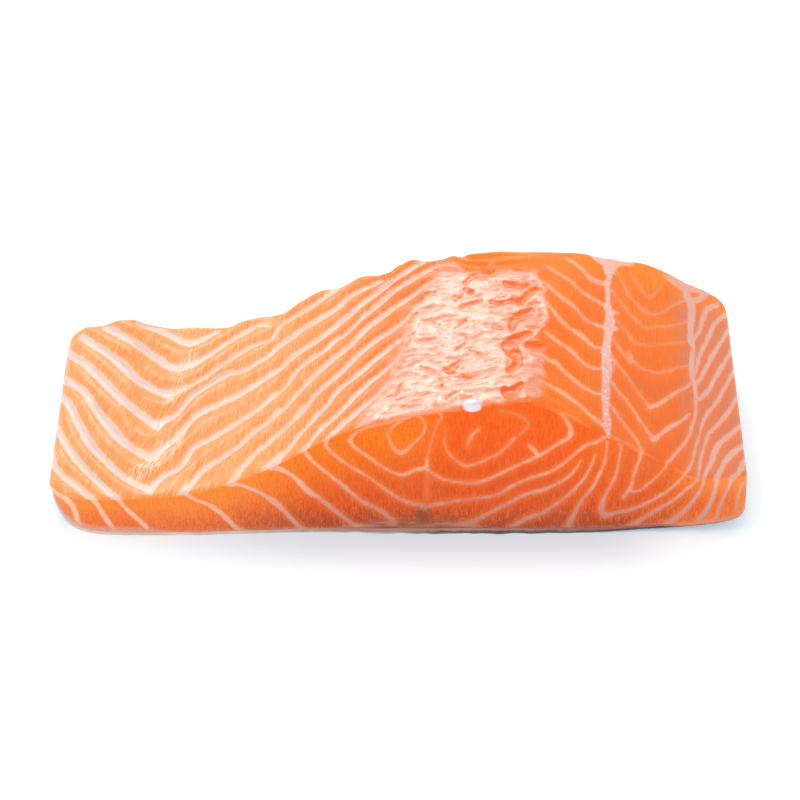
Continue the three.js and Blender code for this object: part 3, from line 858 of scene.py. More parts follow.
def far_levels(x, y, share):
    """Levels of the far face, and how far they drift from the top's own at each end.

    The top numbers its septa anew at the two upright septa. Whole steps there change nothing that
    shows and are taken out; what is left is spread along the face, except close to its upper edge.
    """
    own = cut_level(x, y, share)
    gap = top_level(x[:, 0], y[:, 0]) - cut_level(x[:, 0], y[:, 0], 1.0)
    jumps = np.diff(gap, prepend=gap[0])
    jumps = np.where(np.abs(jumps) > JUMP, jumps, 0)
    gap = gap - np.cumsum(np.round(jumps))
    even = gap - np.cumsum(jumps - np.round(jumps))
    reach = round(GAP_SPREAD / STATION_STEP)
    weights = np.hanning(2 * reach + 1)
    even = np.convolve(np.pad(even, reach, mode="edge"), weights / weights.sum(), mode="valid")
    low = 1 - share ** EDGE_HOLD
    return own + gap[:, None] + (even - gap)[:, None] * low, (even - gap)[[0, -1]]


def level_grid(x, y, z, share, side):
    """The level of every place on the sections, and the drift of the far face at each end."""
    near, top, far, base = (side == kind for kind in (NEAR, TOP, FAR, BASE))
    level = np.empty_like(x)
    level[:, near] = near_level_at(x[:, near], z[:, near], share[:, near])
    level[:, top] = top_level(x[:, top], y[:, top])
    level[:, far], drift = far_levels(x[:, far], y[:, far], share[:, far])
    level[:, base] = level_at(x[:, base], y[:, base], share[:, base])
    return level, drift


def steepness(level, x, y, z):
    """How fast the level changes along the surface, in levels for each millimetre."""
    place = np.stack([x, y, z], 2)
    pu, pv = np.gradient(place, axis=0), np.gradient(place, axis=1)
    lu, lv = np.gradient(level, axis=0), np.gradient(level, axis=1)
    e = (pu * pu).sum(2)
    f = (pu * pv).sum(2)
    g = (pv * pv).sum(2)
    steep = (g * lu ** 2 - 2 * f * lu * lv + e * lv ** 2) / np.maximum(e * g - f * f, TINY)
    return np.clip(np.sqrt(np.maximum(steep, 0)), STEEP_LOW, STEEP_HIGH)


def level_depth(level, steep, x):
    """How deep each place lies inside the nearest septum of the level field, in mm."""
    nearest = np.abs(level - np.round(level))
    return 0.5 * cut_width(x) - nearest / steep


def flake_side(level):
    """1 just in front of a septum, 0 just behind it."""
    return 0.5 - 0.5 * np.sin(2 * math.pi * level)


def blurred(grid, times):
    """A grid evened out with its neighbours this many times."""
    for _ in range(times):
        padded = np.pad(grid, 1, mode="edge")
        grid = (padded[1:-1, 1:-1] * 2 + padded[:-2, 1:-1] + padded[2:, 1:-1] + padded[1:-1, :-2]
                + padded[1:-1, 2:]) / 6
    return grid


def surface_noise(x, y, z, scales, seed):
    """Smooth noise at every place, between about -1 and 1, stretched by its scales in mm."""
    sx, sy, sz = scales
    flat = np.column_stack([np.ravel(x) / sx, np.ravel(y) / sy, np.ravel(z) / sz]) + seed
    return np.array([noise.noise(Vector(place)) for place in flat]).reshape(x.shape)


def normals(x, y, z):
    place = np.stack([x, y, z], 2)
    facing = np.cross(np.gradient(place, axis=0), np.gradient(place, axis=1))
    return facing / np.maximum(np.linalg.norm(facing, axis=2, keepdims=True), TINY)


def add_object(name, data):
    """A new object in the scene."""
    added = bpy.data.objects.new(name, data)
    bpy.context.scene.collection.objects.link(added)
    return added


def make_mesh(name, points, marks):
    """A closed piece from rings of points, with a value of each mark at every point."""
    mesh = bpy.data.meshes.new(name)
    mesh.from_pydata((points.reshape(-1, 3) * MM).tolist(), [], tube_faces(*points.shape[:2]))
    mesh.polygons.foreach_set("use_smooth", [True] * len(mesh.polygons))
    for mark, values in marks.items():
        mesh.attributes.new(mark, "FLOAT", "POINT").data.foreach_set("value", np.ravel(values))
    mesh.update()
    return add_object(name, mesh)


def tube_faces(rings, size):
    """Quads round a stack of rings, each with the same number of points, and a face on each end."""
    here = np.arange(rings - 1)[:, None] * size + np.arange(size)[None, :]
    after = np.arange(rings - 1)[:, None] * size + (np.arange(size)[None, :] + 1) % size
    faces = np.stack([here, here + size, after + size, after], 2).reshape(-1, 4).tolist()
    faces.append(list(range(size)))
    faces.append(list(range((rings - 1) * size, rings * size))[::-1])
    return faces


def septa_marks(x, y, z, side, level):
    """How deep each place lies inside a septum, in mm, and how white the septum is there."""
    px, py = project(x, y, z)
    fat = level_depth(level, blurred(steepness(level, x, y, z), 3), x)
    white = FAR_WHITENESS + 0 * x
    bands = [(0, *band) for band in TOP_BANDS]
    near_marks = [(0, *mark) for mark in NEAR_MARKS]
    for kind, strokes in ((TOP, TOP_LEFT_SEPTA + TOP_VEE_SEPTA + TOP_STRIP_SEPTA + bands),
                          (NEAR, NEAR_SEPTA + near_marks)):
        here = side == kind
        routes = [past_edge(route) for _, _, route in strokes]
        fat[:, here], which = stroke_depth(px[:, here], py[:, here], routes)
        white[:, here] = np.array([whiteness for _, whiteness, _ in strokes])[which]
    return fat, white


def film_marks(x, y, z, side):
    """The film, its tears, its raised folds and spots painted as highlights, the painted sheen on the fibres
    and the bead, as depths inside each.
    """
    px, py = project(x, y, z)
    top = (side == TOP)[None, :]
    film = np.clip(np.where(top, inside_distance(px, py, FILM), NO_FILM), NO_FILM, -NO_FILM)
    tear, fold_and_highlight, fibre_sheen = (np.where(top, np.clip(stroke_depth(px, py, routes)[0], NO_STROKE, high), NO_STROKE)
                         for routes, high in ((TEARS, 1), (FOLDS_AND_HIGHLIGHTS, 1), (SHEEN_STREAKS, 2)))
    bead = 1 - np.hypot((px - BEAD["px"]) / BEAD["half_width"], (py - BEAD["py"]) / BEAD["half_height"])
    bead = np.clip(np.where((side <= TOP)[None, :], bead, NO_BEAD), NO_BEAD, 1)
    return {"film": film, "tear": tear, "fold_and_highlight": fold_and_highlight, "fibre_sheen": fibre_sheen, "bead": bead}


def relief(x, y, z, side, share, level, marks):
    """How far each place stands out from the plain form, in mm."""
    film, tear, fold_and_highlight, bead = (marks[name] for name in ("film", "tear", "fold_and_highlight", "bead"))
    crown = np.sin(math.pi * level) ** 2 - 0.5
    for reach in (LOIN_RANGE, BACK_RANGE):
        crown = crown * (1 - FLATTER * rise(x, *reach))
    covered = rise(film, -0.8, 0.8)
    behind = rise(y, -HALF_DEPTH, -HALF_DEPTH + FLAKE_FADE)
    large = 1 - WRINKLE_SHARPNESS * np.abs(surface_noise(x, y, z, (5.0, 1.9, 3), 11.7))
    small = 1 - WRINKLE_SHARPNESS * np.abs(surface_noise(x, y, z, (2.4, 1.3, 2), 29.1))
    wrinkle = WRINKLE * (LARGE_WRINKLES * large + (1 - LARGE_WRINKLES) * (small - 1))
    groove = SEPTUM_GROOVE * rise(marks["fat"], -0.6, 0.2)
    on_top = (FLAKE_RELIEF * crown * behind - groove) * (1 - covered)
    on_top += covered * wrinkle - TEAR_DEPTH * rise(tear, -0.3, 0.3) + FOLD_HEIGHT * rise(fold_and_highlight, -0.4, 0.4)
    on_top += BEAD["height"] * np.sqrt(np.clip(bead, 0, 1))
    push = np.where((side == TOP)[None, :], on_top, CUT_RELIEF * crown)
    push += UNEVEN * surface_noise(x, y, z, (17, 17, 17), 3.3)
    push += RIPPLE * surface_noise(x, y, z, (4.5, 7, 4.5), 17.9) * (1 - covered)
    push[:, side == BASE] = 0
    push = push * rise(share, 0.0, CALM_FOOT) * rise(HALF_LENGTH - np.abs(x), 0.0, CALM_END)
    return blurred(push, 1)


def end_cap(ring, share, outwards):
    """Rings that close an end of the flesh, drawn in to a line above its foot and swelling a little."""
    middle = ring.copy()
    middle[:, 2] = ring[:, 2].min() + END_LEVEL * np.ptp(ring[:, 2])
    centre = (ring[:, 1].min() + ring[:, 1].max()) / 2
    reach = END_CORE * (ring[:, 1].max() - centre)
    middle[:, 1] = np.clip(ring[:, 1], centre - reach, centre + reach)
    steps = np.arange(1, CAP_RINGS + 1)[:, None, None] / CAP_RINGS
    cap = ring + (middle - ring) * steps
    cap[:, :, 0] += outwards * END_SWELL * np.sin(math.pi / 2 * steps[:, :, 0])
    shares = share + (END_LEVEL - share) * steps[:, :, 0]
    return cap, shares


def end_marks(cap, shares, end_x, drift):
    """The marks on an end: septa that run down it, and nothing of the top's features."""
    x, y, z = np.moveaxis(cap, 2, 0)
    level = level_at(0 * y + end_x, y, shares)
    level += drift * (1 - shares ** EDGE_HOLD) * rise(y, 0, HALF_DEPTH)
    steep = np.maximum(steepness(level, x, y, z), END_STEEP_LOW)
    marks = {"fat": level_depth(level, steep, x), "white": FAR_WHITENESS, "film": NO_FILM,
             "tear": NO_STROKE, "fold_and_highlight": NO_STROKE, "fibre_sheen": NO_STROKE, "bead": NO_BEAD, "cut": 1, "rim_highlight": 0,
             "low": np.minimum(z - flesh_base(x), HIGHEST), "flake": flake_side(level), "share": shares}
    return {name: value + 0 * level for name, value in marks.items()}


def flesh_piece():
    x, y, z, share, side = flesh_grid()
    level, drift = level_grid(x, y, z, share, side)
    y, z, rim_highlight = rounded_edges(y, z)
    fat, white = septa_marks(x, y, z, side, level)
    cut = blurred(np.where(side == TOP, 0.0, 1.0)[None, :] + 0 * x, 2)
    marks = {"fat": fat, "white": white, "cut": cut, "rim_highlight": rim_highlight, "flake": flake_side(level), "share": share,
             "low": np.minimum(z - flesh_base(x), HIGHEST), **film_marks(x, y, z, side)}
    push = relief(x, y, z, side, share, level, marks)
    body = np.stack([x, y, z], 2) + normals(x, y, z) * push[:, :, None]

    start_cap, start_shares = end_cap(body[0], share[0], -1)
    end_rings, end_shares = end_cap(body[-1], share[-1], 1)
    start_marks = end_marks(start_cap, start_shares, x[0, 0], drift[0])
    last_marks = end_marks(end_rings, end_shares, x[-1, 0], drift[1])
    points = np.concatenate([start_cap[::-1], body, end_rings])
    marks = {name: np.concatenate([start_marks[name][::-1], grid, last_marks[name]])
             for name, grid in marks.items()}
    return make_mesh("flesh_look", points, marks)


def scale_relief(x, y):
    """How far a place lies under the scales that overlap there, 0 on the outermost and 1 deep under."""
    best = np.zeros(np.shape(x))
    row = np.floor(y / SCALE_STEP)
    for back in range(3):
        this = row - back
        offset = np.where(this % 2 == 0, 0.0, 0.5)
        column = np.floor(x / SCALE_WIDTH - offset) + 0.5
        dx = x - (column + offset) * SCALE_WIDTH
        dy = (y - this * SCALE_STEP) / (SCALE_STEP * SCALE_OVERLAP)
        reach = np.hypot(dx / (SCALE_WIDTH * SCALE_HALF), dy)
        best = np.maximum(best, np.where(reach < 1, SCALE_LOW + (1 - SCALE_LOW) * dy, 0))
    return 1 - np.clip(best, 0, 1)


def skin_piece():
    """The skin: a sheet with rows of scales under it and a pale fat layer at its cut edge."""
    xs = stations(SKIN_CORNER, SKIN_CORNER, SKIN_CORNER_STEPS, SKIN_STATIONS)
    near = near_face(xs, 0.0)
    far = far_face(xs)
    wavy = surface_noise(xs, 0 * xs, 0 * xs, (3.5, 1, 1), 5.5)
    lip = SKIN_LIP * hump(xs, *LIP_RANGE) * (LIP_EVEN + LIP_WAVE * wavy)
    low = underside(xs)
    edge_rows = np.array([0.25, 0.5, 0.75])[None, :]
    y_top = near + (far - near) * np.linspace(0, 1, SKIN_TOP_COLUMNS)[None, :]
    y_far = far + 0 * edge_rows
    y_low = far + (near - lip - far) * np.linspace(0, 1, SKIN_COLUMNS)[None, :]
    y_near = near - lip * (1 - edge_rows)
    raised = scale_relief(xs + 0 * y_low, y_low)
    z_top = low + SKIN_THICKNESS + 0 * y_top
    z_far = low + SKIN_THICKNESS * (1 - edge_rows)
    z_near = low + SKIN_THICKNESS * edge_rows
    y = np.hstack([y_top, y_far, y_low, y_near])
    z = np.hstack([z_top, z_far, low + SCALE_RELIEF * raised, z_near])
    points = np.stack([xs + 0 * y, y, z], 2)
    # 1 on top, -1 underneath, and between them down the edges
    depth = np.hstack([1 + 0 * y_top, (z_far - low) / SKIN_THICKNESS, -1 + 0 * y_low,
                       (z_near - low) / SKIN_THICKNESS])
    scale_mark = np.hstack([0 * y_top, 0 * y_far, raised, 0 * y_near])
    return make_mesh("skin_look", points, {"depth": depth, "scale": scale_mark})


def paint(name):
    """A named colour as the shader takes it."""
    def linear(value):
        value /= 255
        return value / 12.92 if value <= 0.04045 else ((value + 0.055) / 1.055) ** 2.4
    return (*(linear(value) for value in COLOURS[name]), 1.0)


class Value:
    """A number, colour or vector in a material. Numbers can be added, multiplied and mapped."""

    def __init__(self, shader, socket):
        self.shader = shader
        self.socket = socket

    def __add__(self, other):
        return self.shader.maths("ADD", self, other)

    def __sub__(self, other):
        return self.shader.maths("SUBTRACT", self, other)

    def __rsub__(self, other):
        return self.shader.maths("SUBTRACT", other, self)

    def __mul__(self, other):
        return self.shader.maths("MULTIPLY", self, other)

    def rise(self, low, high):
        """0 below low and 1 above high, with a smooth step between."""
        sockets = {"Value": self, "From Min": low, "From Max": high}
        return self.shader.put("MapRange", sockets, interpolation_type="SMOOTHSTEP")

    def spread(self, low, high, to_low, to_high):
        sockets = {"Value": self, "From Min": low, "From Max": high, "To Min": to_low, "To Max": to_high}
        return self.shader.put("MapRange", sockets)


class Shader:
    """A node material and short ways to add to it."""

    def __init__(self, name):
        self.material = bpy.data.materials.new(name)
        self.material.use_nodes = True
        self.tree = self.material.node_tree
        self.tree.nodes.clear()
        axes = self.node("SeparateXYZ", {0: self.place(1, 1, 1)}).outputs
        self.x, self.y, self.z = (Value(self, axis) for axis in axes)

    def node(self, kind, sockets, **settings):
        node = self.tree.nodes.new("ShaderNode" + kind)
        for key, value in settings.items():
            setattr(node, key, value)
        for key, value in sockets.items():
            if isinstance(value, Value):
                self.tree.links.new(value.socket, node.inputs[key])
            else:
                node.inputs[key].default_value = value
        return node

    def put(self, kind, sockets, output=0, **settings):
        """What a new node gives at one of its outputs."""
        return Value(self, self.node(kind, sockets, **settings).outputs[output])

    def mark(self, name):
        return self.put("Attribute", {}, "Fac", attribute_name=name)

    def maths(self, operation, *values):
        return self.put("Math", dict(enumerate(values)), operation=operation)

    def mix(self, share, first, second):
        """A mix of two colours, each given by its name or as a value."""
        first, second = (paint(colour) if isinstance(colour, str) else colour for colour in (first, second))
        return self.put("Mix", {0: share, 6: first, 7: second}, 2, data_type="RGBA")

    def layered(self, colour, *layers):
        """A colour with others laid over it in turn, each with its share."""
        for share, over in layers:
            colour = self.mix(share, colour, over)
        return colour

    def blend(self, share, first, second):
        return self.put("Mix", {0: share, 2: first, 3: second}, data_type="FLOAT")

    def place(self, *scales):
        """The place in the fillet's own frame, in millimetres, stretched along each axis."""
        sockets = {0: self.put("TexCoord", {}, "Object"), 1: [scale / MM for scale in scales]}
        return self.put("VectorMath", sockets, operation="MULTIPLY")

    def stretched(self, axes, scales):
        return self.put("CombineXYZ", {i: axes[i] * scales[i] for i in range(3)})

    def fibre_place(self, *scales):
        """A place for streaks along the fish, which lean towards the back over the belly."""
        lean = self.x.spread(-50, -20, -FIBRE_LEAN, 0)
        return self.stretched((self.y * lean + self.x, self.y, self.z), scales)

    def film_place(self, *scales):
        """A place for creases of the film, across the fish on its right and slanting on its left."""
        lean = self.x.spread(-4, 16, -CREASE_LEAN, 0)
        return self.stretched((self.x, self.x * lean + self.y, self.z), scales)

    def noise_at(self, place, detail=2, roughness=0.5):
        sockets = {"Vector": place, "Scale": 1, "Detail": detail, "Roughness": roughness}
        return self.put("TexNoise", sockets, "Fac")

    def noise(self, scales, detail=2, roughness=0.5):
        return self.noise_at(self.place(*scales), detail, roughness)

    def ridges(self, place, detail):
        sockets = {"Vector": place, "Scale": 1, "Detail": detail, "Roughness": 0.55, "Distortion": 0.4}
        return self.put("TexNoise", sockets, "Fac", noise_type="RIDGED_MULTIFRACTAL", normalize=True)

    def hairlines(self, noise, half, end, patches):
        """Thin lines where a noise passes its middle, in the patches alone."""
        return (1 - self.maths("ABSOLUTE", noise - 0.5).rise(half, end)) * patches

    def bump(self, height, strength, distance, **more):
        sockets = {"Height": height, "Strength": strength, "Distance": distance * MM, **more}
        return self.put("Bump", sockets)

    def principled(self, sockets):
        self.node("OutputMaterial", {"Surface": self.put("BsdfPrincipled", sockets)})
        return self.material


class Flesh(Shader):
    """The flesh's material. It keeps the values that several of its steps use."""

    def __init__(self):
        super().__init__("salmon_flesh")
        self.cut, self.low = self.mark("cut"), self.mark("low")
        self.top = 1 - self.cut
        self.belly = 1 - self.x.rise(-34, 16)
        self.loin = 1 - self.belly
        self.back = self.x.rise(60, 66)
        self.near_half = self.y.rise(0, -10)
        self.cloudy = self.noise((0.1, 0.06, 0.14), 3, 0.55)
        self.wander = self.noise((0.4, 0.4, 0.4), 3, 0.6) - 0.5
        self.ragged = self.noise((1.8, 1.1, 1.8), 3, 0.7) - 0.5

        # Fibres: streaks along the fish on top, upright grain on the cut faces
        self.streaks = self.noise_at(self.fibre_place(2.8, 0.2, 0.6), 2, 0.6)
        self.fine_streaks = self.noise_at(self.fibre_place(6.5, 0.36, 1.5), 2, 0.6)
        grain = self.noise((3.2, 3.2, 0.45), 3, 0.65)
        fine_grain = self.noise((7, 7, 1.3), 2, 0.6)
        top_fibre = self.fine_streaks * 0.4 + self.streaks * 0.6
        cut_fibre = (fine_grain * 0.5 + grain * 0.5).spread(0.4, 0.6, 0.3, 0.7)
        self.fibre = self.blend(self.cut, top_fibre, cut_fibre)

        # Septa, whose edges wander and are ragged
        teeth = (self.streaks - 0.5) * self.top
        wide = (1 - self.x.rise(-55, -15)) * self.top
        shift = self.wander * 0.5 + self.ragged * 0.5 + wide * 0.24 + teeth * 0.5
        self.depth = self.mark("fat") + shift
        patchy = self.noise((0.35, 0.35, 0.35)).spread(0.3, 0.55, 0.78, 1)
        self.septum = self.depth.rise(-0.28, 0.24) * self.mark("white") * patchy

    def top_flesh(self):
        """Paler over the belly, partly the belly's own tone and partly painted sheen; duller behind the
        second upright septum.
        """
        glow = self.cloudy.rise(0.38, 0.62) * self.loin * 0.45
        inner = self.x.rise(34, 52) * (1 - self.back) * 0.8
        inner_flesh = self.mix(self.y.rise(-20, 26), "inner near", "inner far")
        return self.layered(self.mix(self.belly, "loin", "belly"), (glow, "loin glow"), (inner, inner_flesh),
                            (self.back, "back"), (self.y.rise(22, 34) * self.loin, "loin far"))

    def cut_flesh(self):
        """Bright under the top's edges, redder and darker towards the foot: partly the flesh's own tone,
        partly painted shade low on the face.
        """
        x = self.x
        height = self.cloudy * 5 + self.low
        up = self.cloudy * 0.3 + self.mark("share")
        high = self.layered("cut high", (x.rise(2, 13), "cut high middle"),
                            (x.rise(-10, -40), "cut high belly"), (x.rise(34, 56), "cut high loin"),
                            (x.rise(58, 72), "cut high back"))
        middle = self.mix(x.rise(-12, -50), "cut", "cut belly")
        # Painted shade, with the flesh's own redder tone: the foot colours darken the face towards its foot
        foot = self.layered("cut foot toned and shaded", (x.rise(-14, -44), "cut foot belly toned and shaded"),
                            (x.rise(48, 68), "cut foot back toned and shaded"))
        return self.mix(height.rise(3.4, 9.6), foot, self.mix(up.rise(0.35, 1.1), middle, high))

    def flesh(self):
        """The flesh between the septa, with its fibres, its flakes and a painted highlight along its upper
        edges.
        """
        cut, belly, low, x = self.cut, self.belly, self.low, self.x
        deep = self.mix(cut, self.mix(belly, "loin deep", "belly deep"), "cut deep")
        cut_weight = low.spread(2, 14, 0.6, 0.16) * x.spread(-50, -20, 0.5, 1) * x.spread(58, 70, 1, 0.4)
        weight = self.blend(cut, belly.spread(0, 1, 0.35, 0.75), cut_weight)
        light = self.mix(cut, "top light", "cut light")
        shine = self.blend(cut, belly.spread(0, 1, 0.08, 0.68), low.spread(2, 14, 0.5, 0.12))
        beside = self.mix(cut, self.mix(belly, "loin beside", "belly beside"), "cut beside")
        front = self.mark("flake").rise(0.1, 1) * self.top * 0.4
        # Painted highlight: a pale orange line along the upper edges of the flesh
        edge = self.mark("rim_highlight").rise(0.2, 1) * self.cloudy.rise(0.35, 0.65) * 0.45
        return self.layered(self.mix(cut, self.top_flesh(), self.cut_flesh()),
                            (self.fibre.rise(0.54, 0.36) * weight, deep),
                            (self.fibre.rise(0.52, 0.68) * shine, light),
                            (self.depth.rise(-1.3, -0.1) * 0.35, beside),
                            (front, self.mix(belly, "loin front", "belly front")),
                            (edge, "rim_highlight"))

    def with_septa(self, flesh):
        """Lilac grey inside the wide septa of the belly, pinker on the cut faces and along the back, with
        painted sheen streaks on the fibres where the flakes turn.
        """
        x, y, z, depth = self.x, self.y, self.z, self.depth
        top_fat = self.layered("fat", (depth.rise(0.35, 1), "fat core"), (x.rise(4, 28), "fat loin"),
                               (x.rise(50, 57), "fat inner"), (self.back, "fat back"))
        cut_core = depth.rise(0, 0.34) * z.rise(2, 16) * 0.5
        # Painted shade, with the septa's own tone: the septa of the cut faces are darker low down
        cut_fat = self.layered("cut fat low toned and shaded", (z.rise(6, 20), "cut fat high"),
                               (x.rise(-8, -50), "cut fat belly"), (cut_core, "cut fat core"))
        upright = x.rise(42, 43.5) * x.rise(50, 48.5) * self.top
        upright_fat = self.mix(y.rise(-24, 0), "upright near", "upright far")
        speck = self.noise((0.9, 0.9, 0.9), 3, 0.75).rise(0.5, 0.62) * upright * 0.6
        fat = self.layered(top_fat, (self.cut, cut_fat), (upright, upright_fat), (speck, "upright speck"))
        # Painted sheen: white streaks along the fibres where the flakes turn
        streak = (self.fine_streaks * 0.6 + self.streaks * 0.4).rise(0.47, 0.6)
        painted_sheen = self.mark("fibre_sheen").rise(-0.9, 1) * streak * 0.85
        return self.layered(flesh, (self.septum, fat), (painted_sheen, "fibre_sheen"))

    def with_foot(self, colour):
        """The pale layer over the skin, along the foot of the cut faces, and a dark spot in it."""
        x = self.x
        inside = x.rise(-14, -2) * x.rise(21, 12) * self.near_half
        foot = x.rise(-46, -56) + inside * 2 + 0.1 + self.wander * 1.2
        layer = (foot - self.low).rise(-0.9, 0.7) * self.cut * inside.spread(0, 1, 0.85, 0.7)
        banded = self.noise((0.12, 0.12, 0.9), 3, 0.6).rise(0.4, 0.6)
        layer_colour = self.layered("layer dark", (self.ragged.rise(-0.1, 0.1), "layer light"),
                                    (inside, self.mix(banded, "layer dull", "layer dull light")))
        away = self.put("VectorMath", {0: self.place(1, 0, 1), 1: DARK_SPOT}, "Value", operation="DISTANCE")
        spot = (self.ragged * 3 + away).rise(3.3, 0.2) * self.cut * self.near_half * 0.75
        return self.layered(colour, (layer, layer_colour), (spot, "dark spot"))

    def with_film(self, colour):
        """The film, crumpled and see-through, with flesh in its tears, and the white bead."""
        x, film, ragged, wander = self.x, self.mark("film"), self.ragged, self.wander
        self.covered = (ragged * 2.2 + film + wander * 3.5).rise(-0.7, 1.2)
        opened = (ragged * 0.9 + self.mark("tear") + x.rise(17, 22) * 0.26).rise(-0.3, 0.22)
        opened = opened * x.spread(4, 22, 0.6, 1)
        # Painted highlights: the raised folds and a few bright spots of the film are painted near white
        fold_highlight = (ragged * 0.9 + self.mark("fold_and_highlight")).rise(-0.3, 0.3)
        self.crumple = self.ridges(self.film_place(0.42, 0.75, 0.6), 6)
        veiled = self.noise_at(self.film_place(0.15, 0.26, 0.2), 5, 0.66)
        self.crease = self.hairlines(self.noise_at(self.film_place(0.26, 0.7, 0.6), 4, 0.6), 0.004, 0.026,
                                     self.noise((0.45, 0.55, 0.4)).rise(0.48, 0.58))
        hair = self.hairlines(self.noise_at(self.film_place(0.7, 1.5, 1.2), 3, 0.6), 0.006, 0.034,
                              self.noise((0.8, 0.9, 0.8)).rise(0.5, 0.58))
        pale = veiled - x.spread(16, 34, 0, 0.12)
        glint = (self.crumple * 0.4 + veiled * 0.6).rise(0.5, 0.75)
        film_colour = self.layered("film thin", (pale.rise(0.34, 0.56), "film thick"),
                                   (glint * 0.42, "film glint"), (self.crease * 0.7, "film crease"),
                                   (hair * 0.45, "film hair"), (fold_highlight * 0.45, "film fold highlight"))
        veil = (wander * 2 + film).rise(-3.6, 0) * x.rise(20, 8) * veiled.rise(0.36, 0.6) * self.top * 0.6
        self.shown = self.covered * (1 - opened)
        opening = self.mix(veiled.rise(0.42, 0.6), "tear deep", "tear shallow")
        self.pearl = (ragged * 0.3 + self.mark("bead")).rise(-0.08, 0.3)
        scratch = self.noise((0.5, 2.5, 2), 3, 0.6).rise(0.48, 0.66) * 0.6
        return self.layered(colour, (veil, film_colour), (self.shown * 0.9, film_colour),
                            (opened * self.covered, opening),
                            (self.pearl, self.mix(scratch, "bead", "bead scratch")))

    def made(self):
        """The finished material, with relief finer than the mesh and the wetness of each part."""
        colour = self.with_film(self.with_foot(self.with_septa(self.flesh())))
        fine = self.bump(self.septum * 0.3 + self.fibre * 0.8, 0.4, 0.3)
        swell = self.noise_at(self.film_place(0.2, 0.34, 0.3))
        dents = self.crumple * 0.2 + (swell - self.crease * 0.12)
        normal = self.bump(dents * self.shown, 0.38, 0.6, Normal=fine)
        smooth = self.maths("MAXIMUM", self.shown, self.pearl)
        rough = self.blend(smooth, self.fibre.spread(0.35, 0.7, 0.5, 0.38), 0.3)
        dry = self.blend(self.cut, self.belly.spread(0, 1, 0.05, 0.2), 0.02)
        return self.principled({
            "Base Color": colour, "Roughness": rough, "Normal": normal, "IOR": 1.42,
            "Specular IOR Level": 0.1, "Subsurface Weight": 1, "Subsurface Radius": (1, 0.45, 0.25),
            "Subsurface Scale": 0.5 * MM, "Coat Weight": self.blend(self.covered, dry, 0.44),
            "Coat Roughness": 0.12, "Coat IOR": 1.5, "Coat Normal": normal,
        })


def skin_material():
    """Dark with spots and scale edges at the back, silver at the belly, fat at its cut edge."""
    s = Shader("salmon_skin")
    x, depth = s.x, s.mark("depth")
    mottled = s.noise((0.16, 0.12, 0.2), 4, 0.6)
    patch = mottled.rise(0.3, 0.7)
    spots = {"Vector": s.place(0.11, 0.11, 0.05), "Scale": 1, "Randomness": 1}
    spot = (1 - s.put("TexVoronoi", spots, "Distance").rise(0.1, 0.17)) * x.rise(8, 16)
    dark_from = x.rise(-16, 14) * x.rise(68, 58)
    outer = s.layered(s.mix(patch, "silver", "silver light"),
                      ((mottled * 30 + x).rise(2, 34), s.mix(patch, "slate", "slate light")),
                      (spot * 0.85, "skin spot"), (s.mark("scale") * 0.35, "scale edge"),
                      (depth.rise(0.02, 0.12) * dark_from, "skin line"))
    fat = s.layered("skin fat", (mottled.rise(0.35, 0.65), "skin fat light"),
                    (x.rise(-40, -4), "skin fat middle"), (x.rise(16, 40), "skin fat loin"),
                    (x.rise(56, 64), "skin fat back"))
    level = s.noise((0.5, 0.5, 1.6), 3, 0.6) * 0.6 + depth + dark_from * -0.42 + x.rise(58, 68) * 0.3
    edge = level.rise(0.28, 0.5)
    return s.principled({
        "Base Color": s.mix(edge, outer, fat), "Roughness": s.blend(edge, 0.26, 0.4),
        "Normal": s.bump(s.noise((4, 1, 2), 3, 0.6), 0.3, 0.15),
        "Subsurface Weight": 0.25, "Subsurface Radius": (0.8, 0.5, 0.35), "Subsurface Scale": 0.6 * MM,
        "Coat Weight": 0.5, "Coat Roughness": 0.14,
    })


def floor_material():
    """White paper, with a cool, darker shadow painted on it in front of the fillet, as in the photograph."""
    s = Shader("white_paper")
    x, y = s.x, s.y
    # Painted shadow: the paper is darker and cooler just in front of the fillet
    painted_shadow = y.rise(-52, -37) * y.rise(0, -30) * x.rise(-80, -15) * x.rise(66, 42)
    clouds = s.noise((0.002, 0.002, 0.002), 1)
    return s.principled({
        "Base Color": s.layered("paper", (clouds, "paper light"), (painted_shadow, "paper painted shadow")),
        "Roughness": 0.8, "Specular IOR Level": 0.1,
        "Emission Color": paint("paper glow"), "Emission Strength": 0.29,
    })


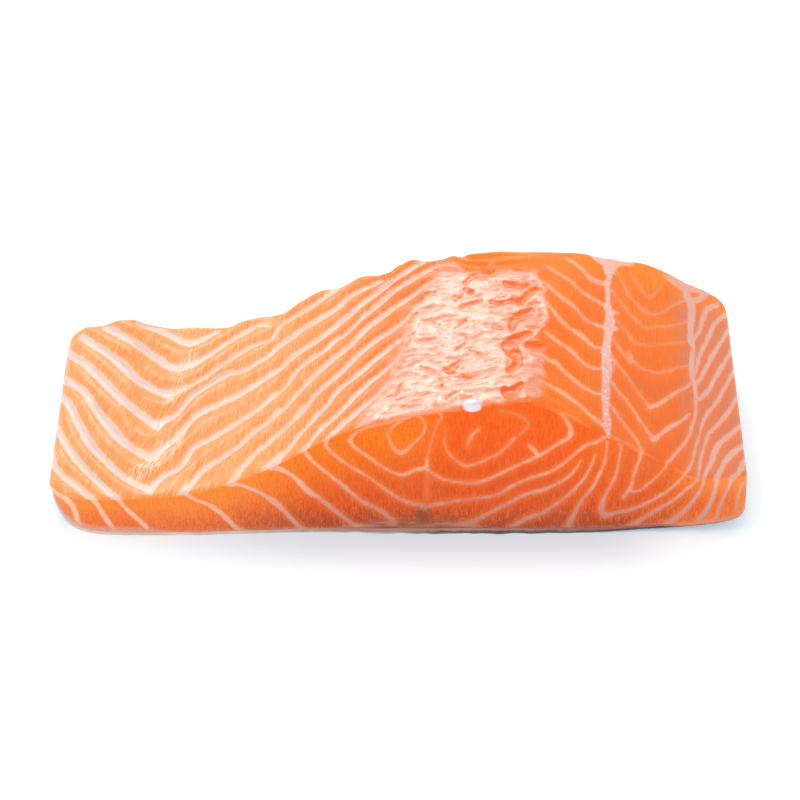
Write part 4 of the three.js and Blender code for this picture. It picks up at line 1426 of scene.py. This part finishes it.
def make_floor():
    corners = [(-FLOOR_SIDE, -FLOOR_SIDE, 0), (FLOOR_SIDE, -FLOOR_SIDE, 0),
               (FLOOR_SIDE, FLOOR_SIDE * 3, 0), (-FLOOR_SIDE, FLOOR_SIDE * 3, 0)]
    mesh = bpy.data.meshes.new("floor")
    mesh.from_pydata(corners, [], [(0, 1, 2, 3)])
    floor = add_object("floor", mesh)
    floor.data.materials.append(floor_material())


def make_camera():
    data = bpy.data.cameras.new("camera")
    data.lens = SENSOR * FOCAL_PX / PHOTO_SIDE
    data.sensor_width = SENSOR
    data.clip_start = 0.05
    data.clip_end = 20
    camera = add_object("camera", data)
    back = Vector((0, -COS_E, SIN_E)) * CAMERA_DISTANCE * MM
    camera.location = Vector(CAMERA_TARGET * MM) + back
    camera.rotation_euler = (math.pi / 2 - CAMERA_ELEVATION, 0, 0)
    bpy.context.scene.camera = camera


def area_light(name, place, size, power):
    """A rectangular light at a place in metres, turned to the fillet."""
    data = bpy.data.lights.new(name, "AREA")
    data.shape = "RECTANGLE"
    data.size, data.size_y = size
    data.energy = power
    lamp = add_object(name, data)
    lamp.location = place
    lamp.rotation_euler = (LIT_PLACE - Vector(place)).to_track_quat("-Z", "Y").to_euler()


def light_studio():
    world = bpy.data.worlds.new("studio")
    bpy.context.scene.world = world
    world.use_nodes = True
    background = world.node_tree.nodes["Background"]
    background.inputs["Color"].default_value = (1, 1, 1, 1)
    background.inputs["Strength"].default_value = 0.9
    area_light("back_softbox", (-0.19, 1.09, 0.6), (0.6, 0.36), 5)
    area_light("front_softbox", (0.1, -1.1, 0.75), (1.4, 0.8), 2.6)
    scene = bpy.context.scene
    scene.view_settings.view_transform = "Standard"
    scene.view_settings.look = "None"
    scene.view_settings.exposure = 0
    scene.view_settings.gamma = 1
    scene.cycles.use_denoising = True


make_camera()
make_floor()
light_studio()

flesh = flesh_piece()
flesh.data.materials.append(Flesh().made())
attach(flesh, "root")
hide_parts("flesh")

skin = skin_piece()
skin.data.materials.append(skin_material())
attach(skin, "root")
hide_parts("skin")
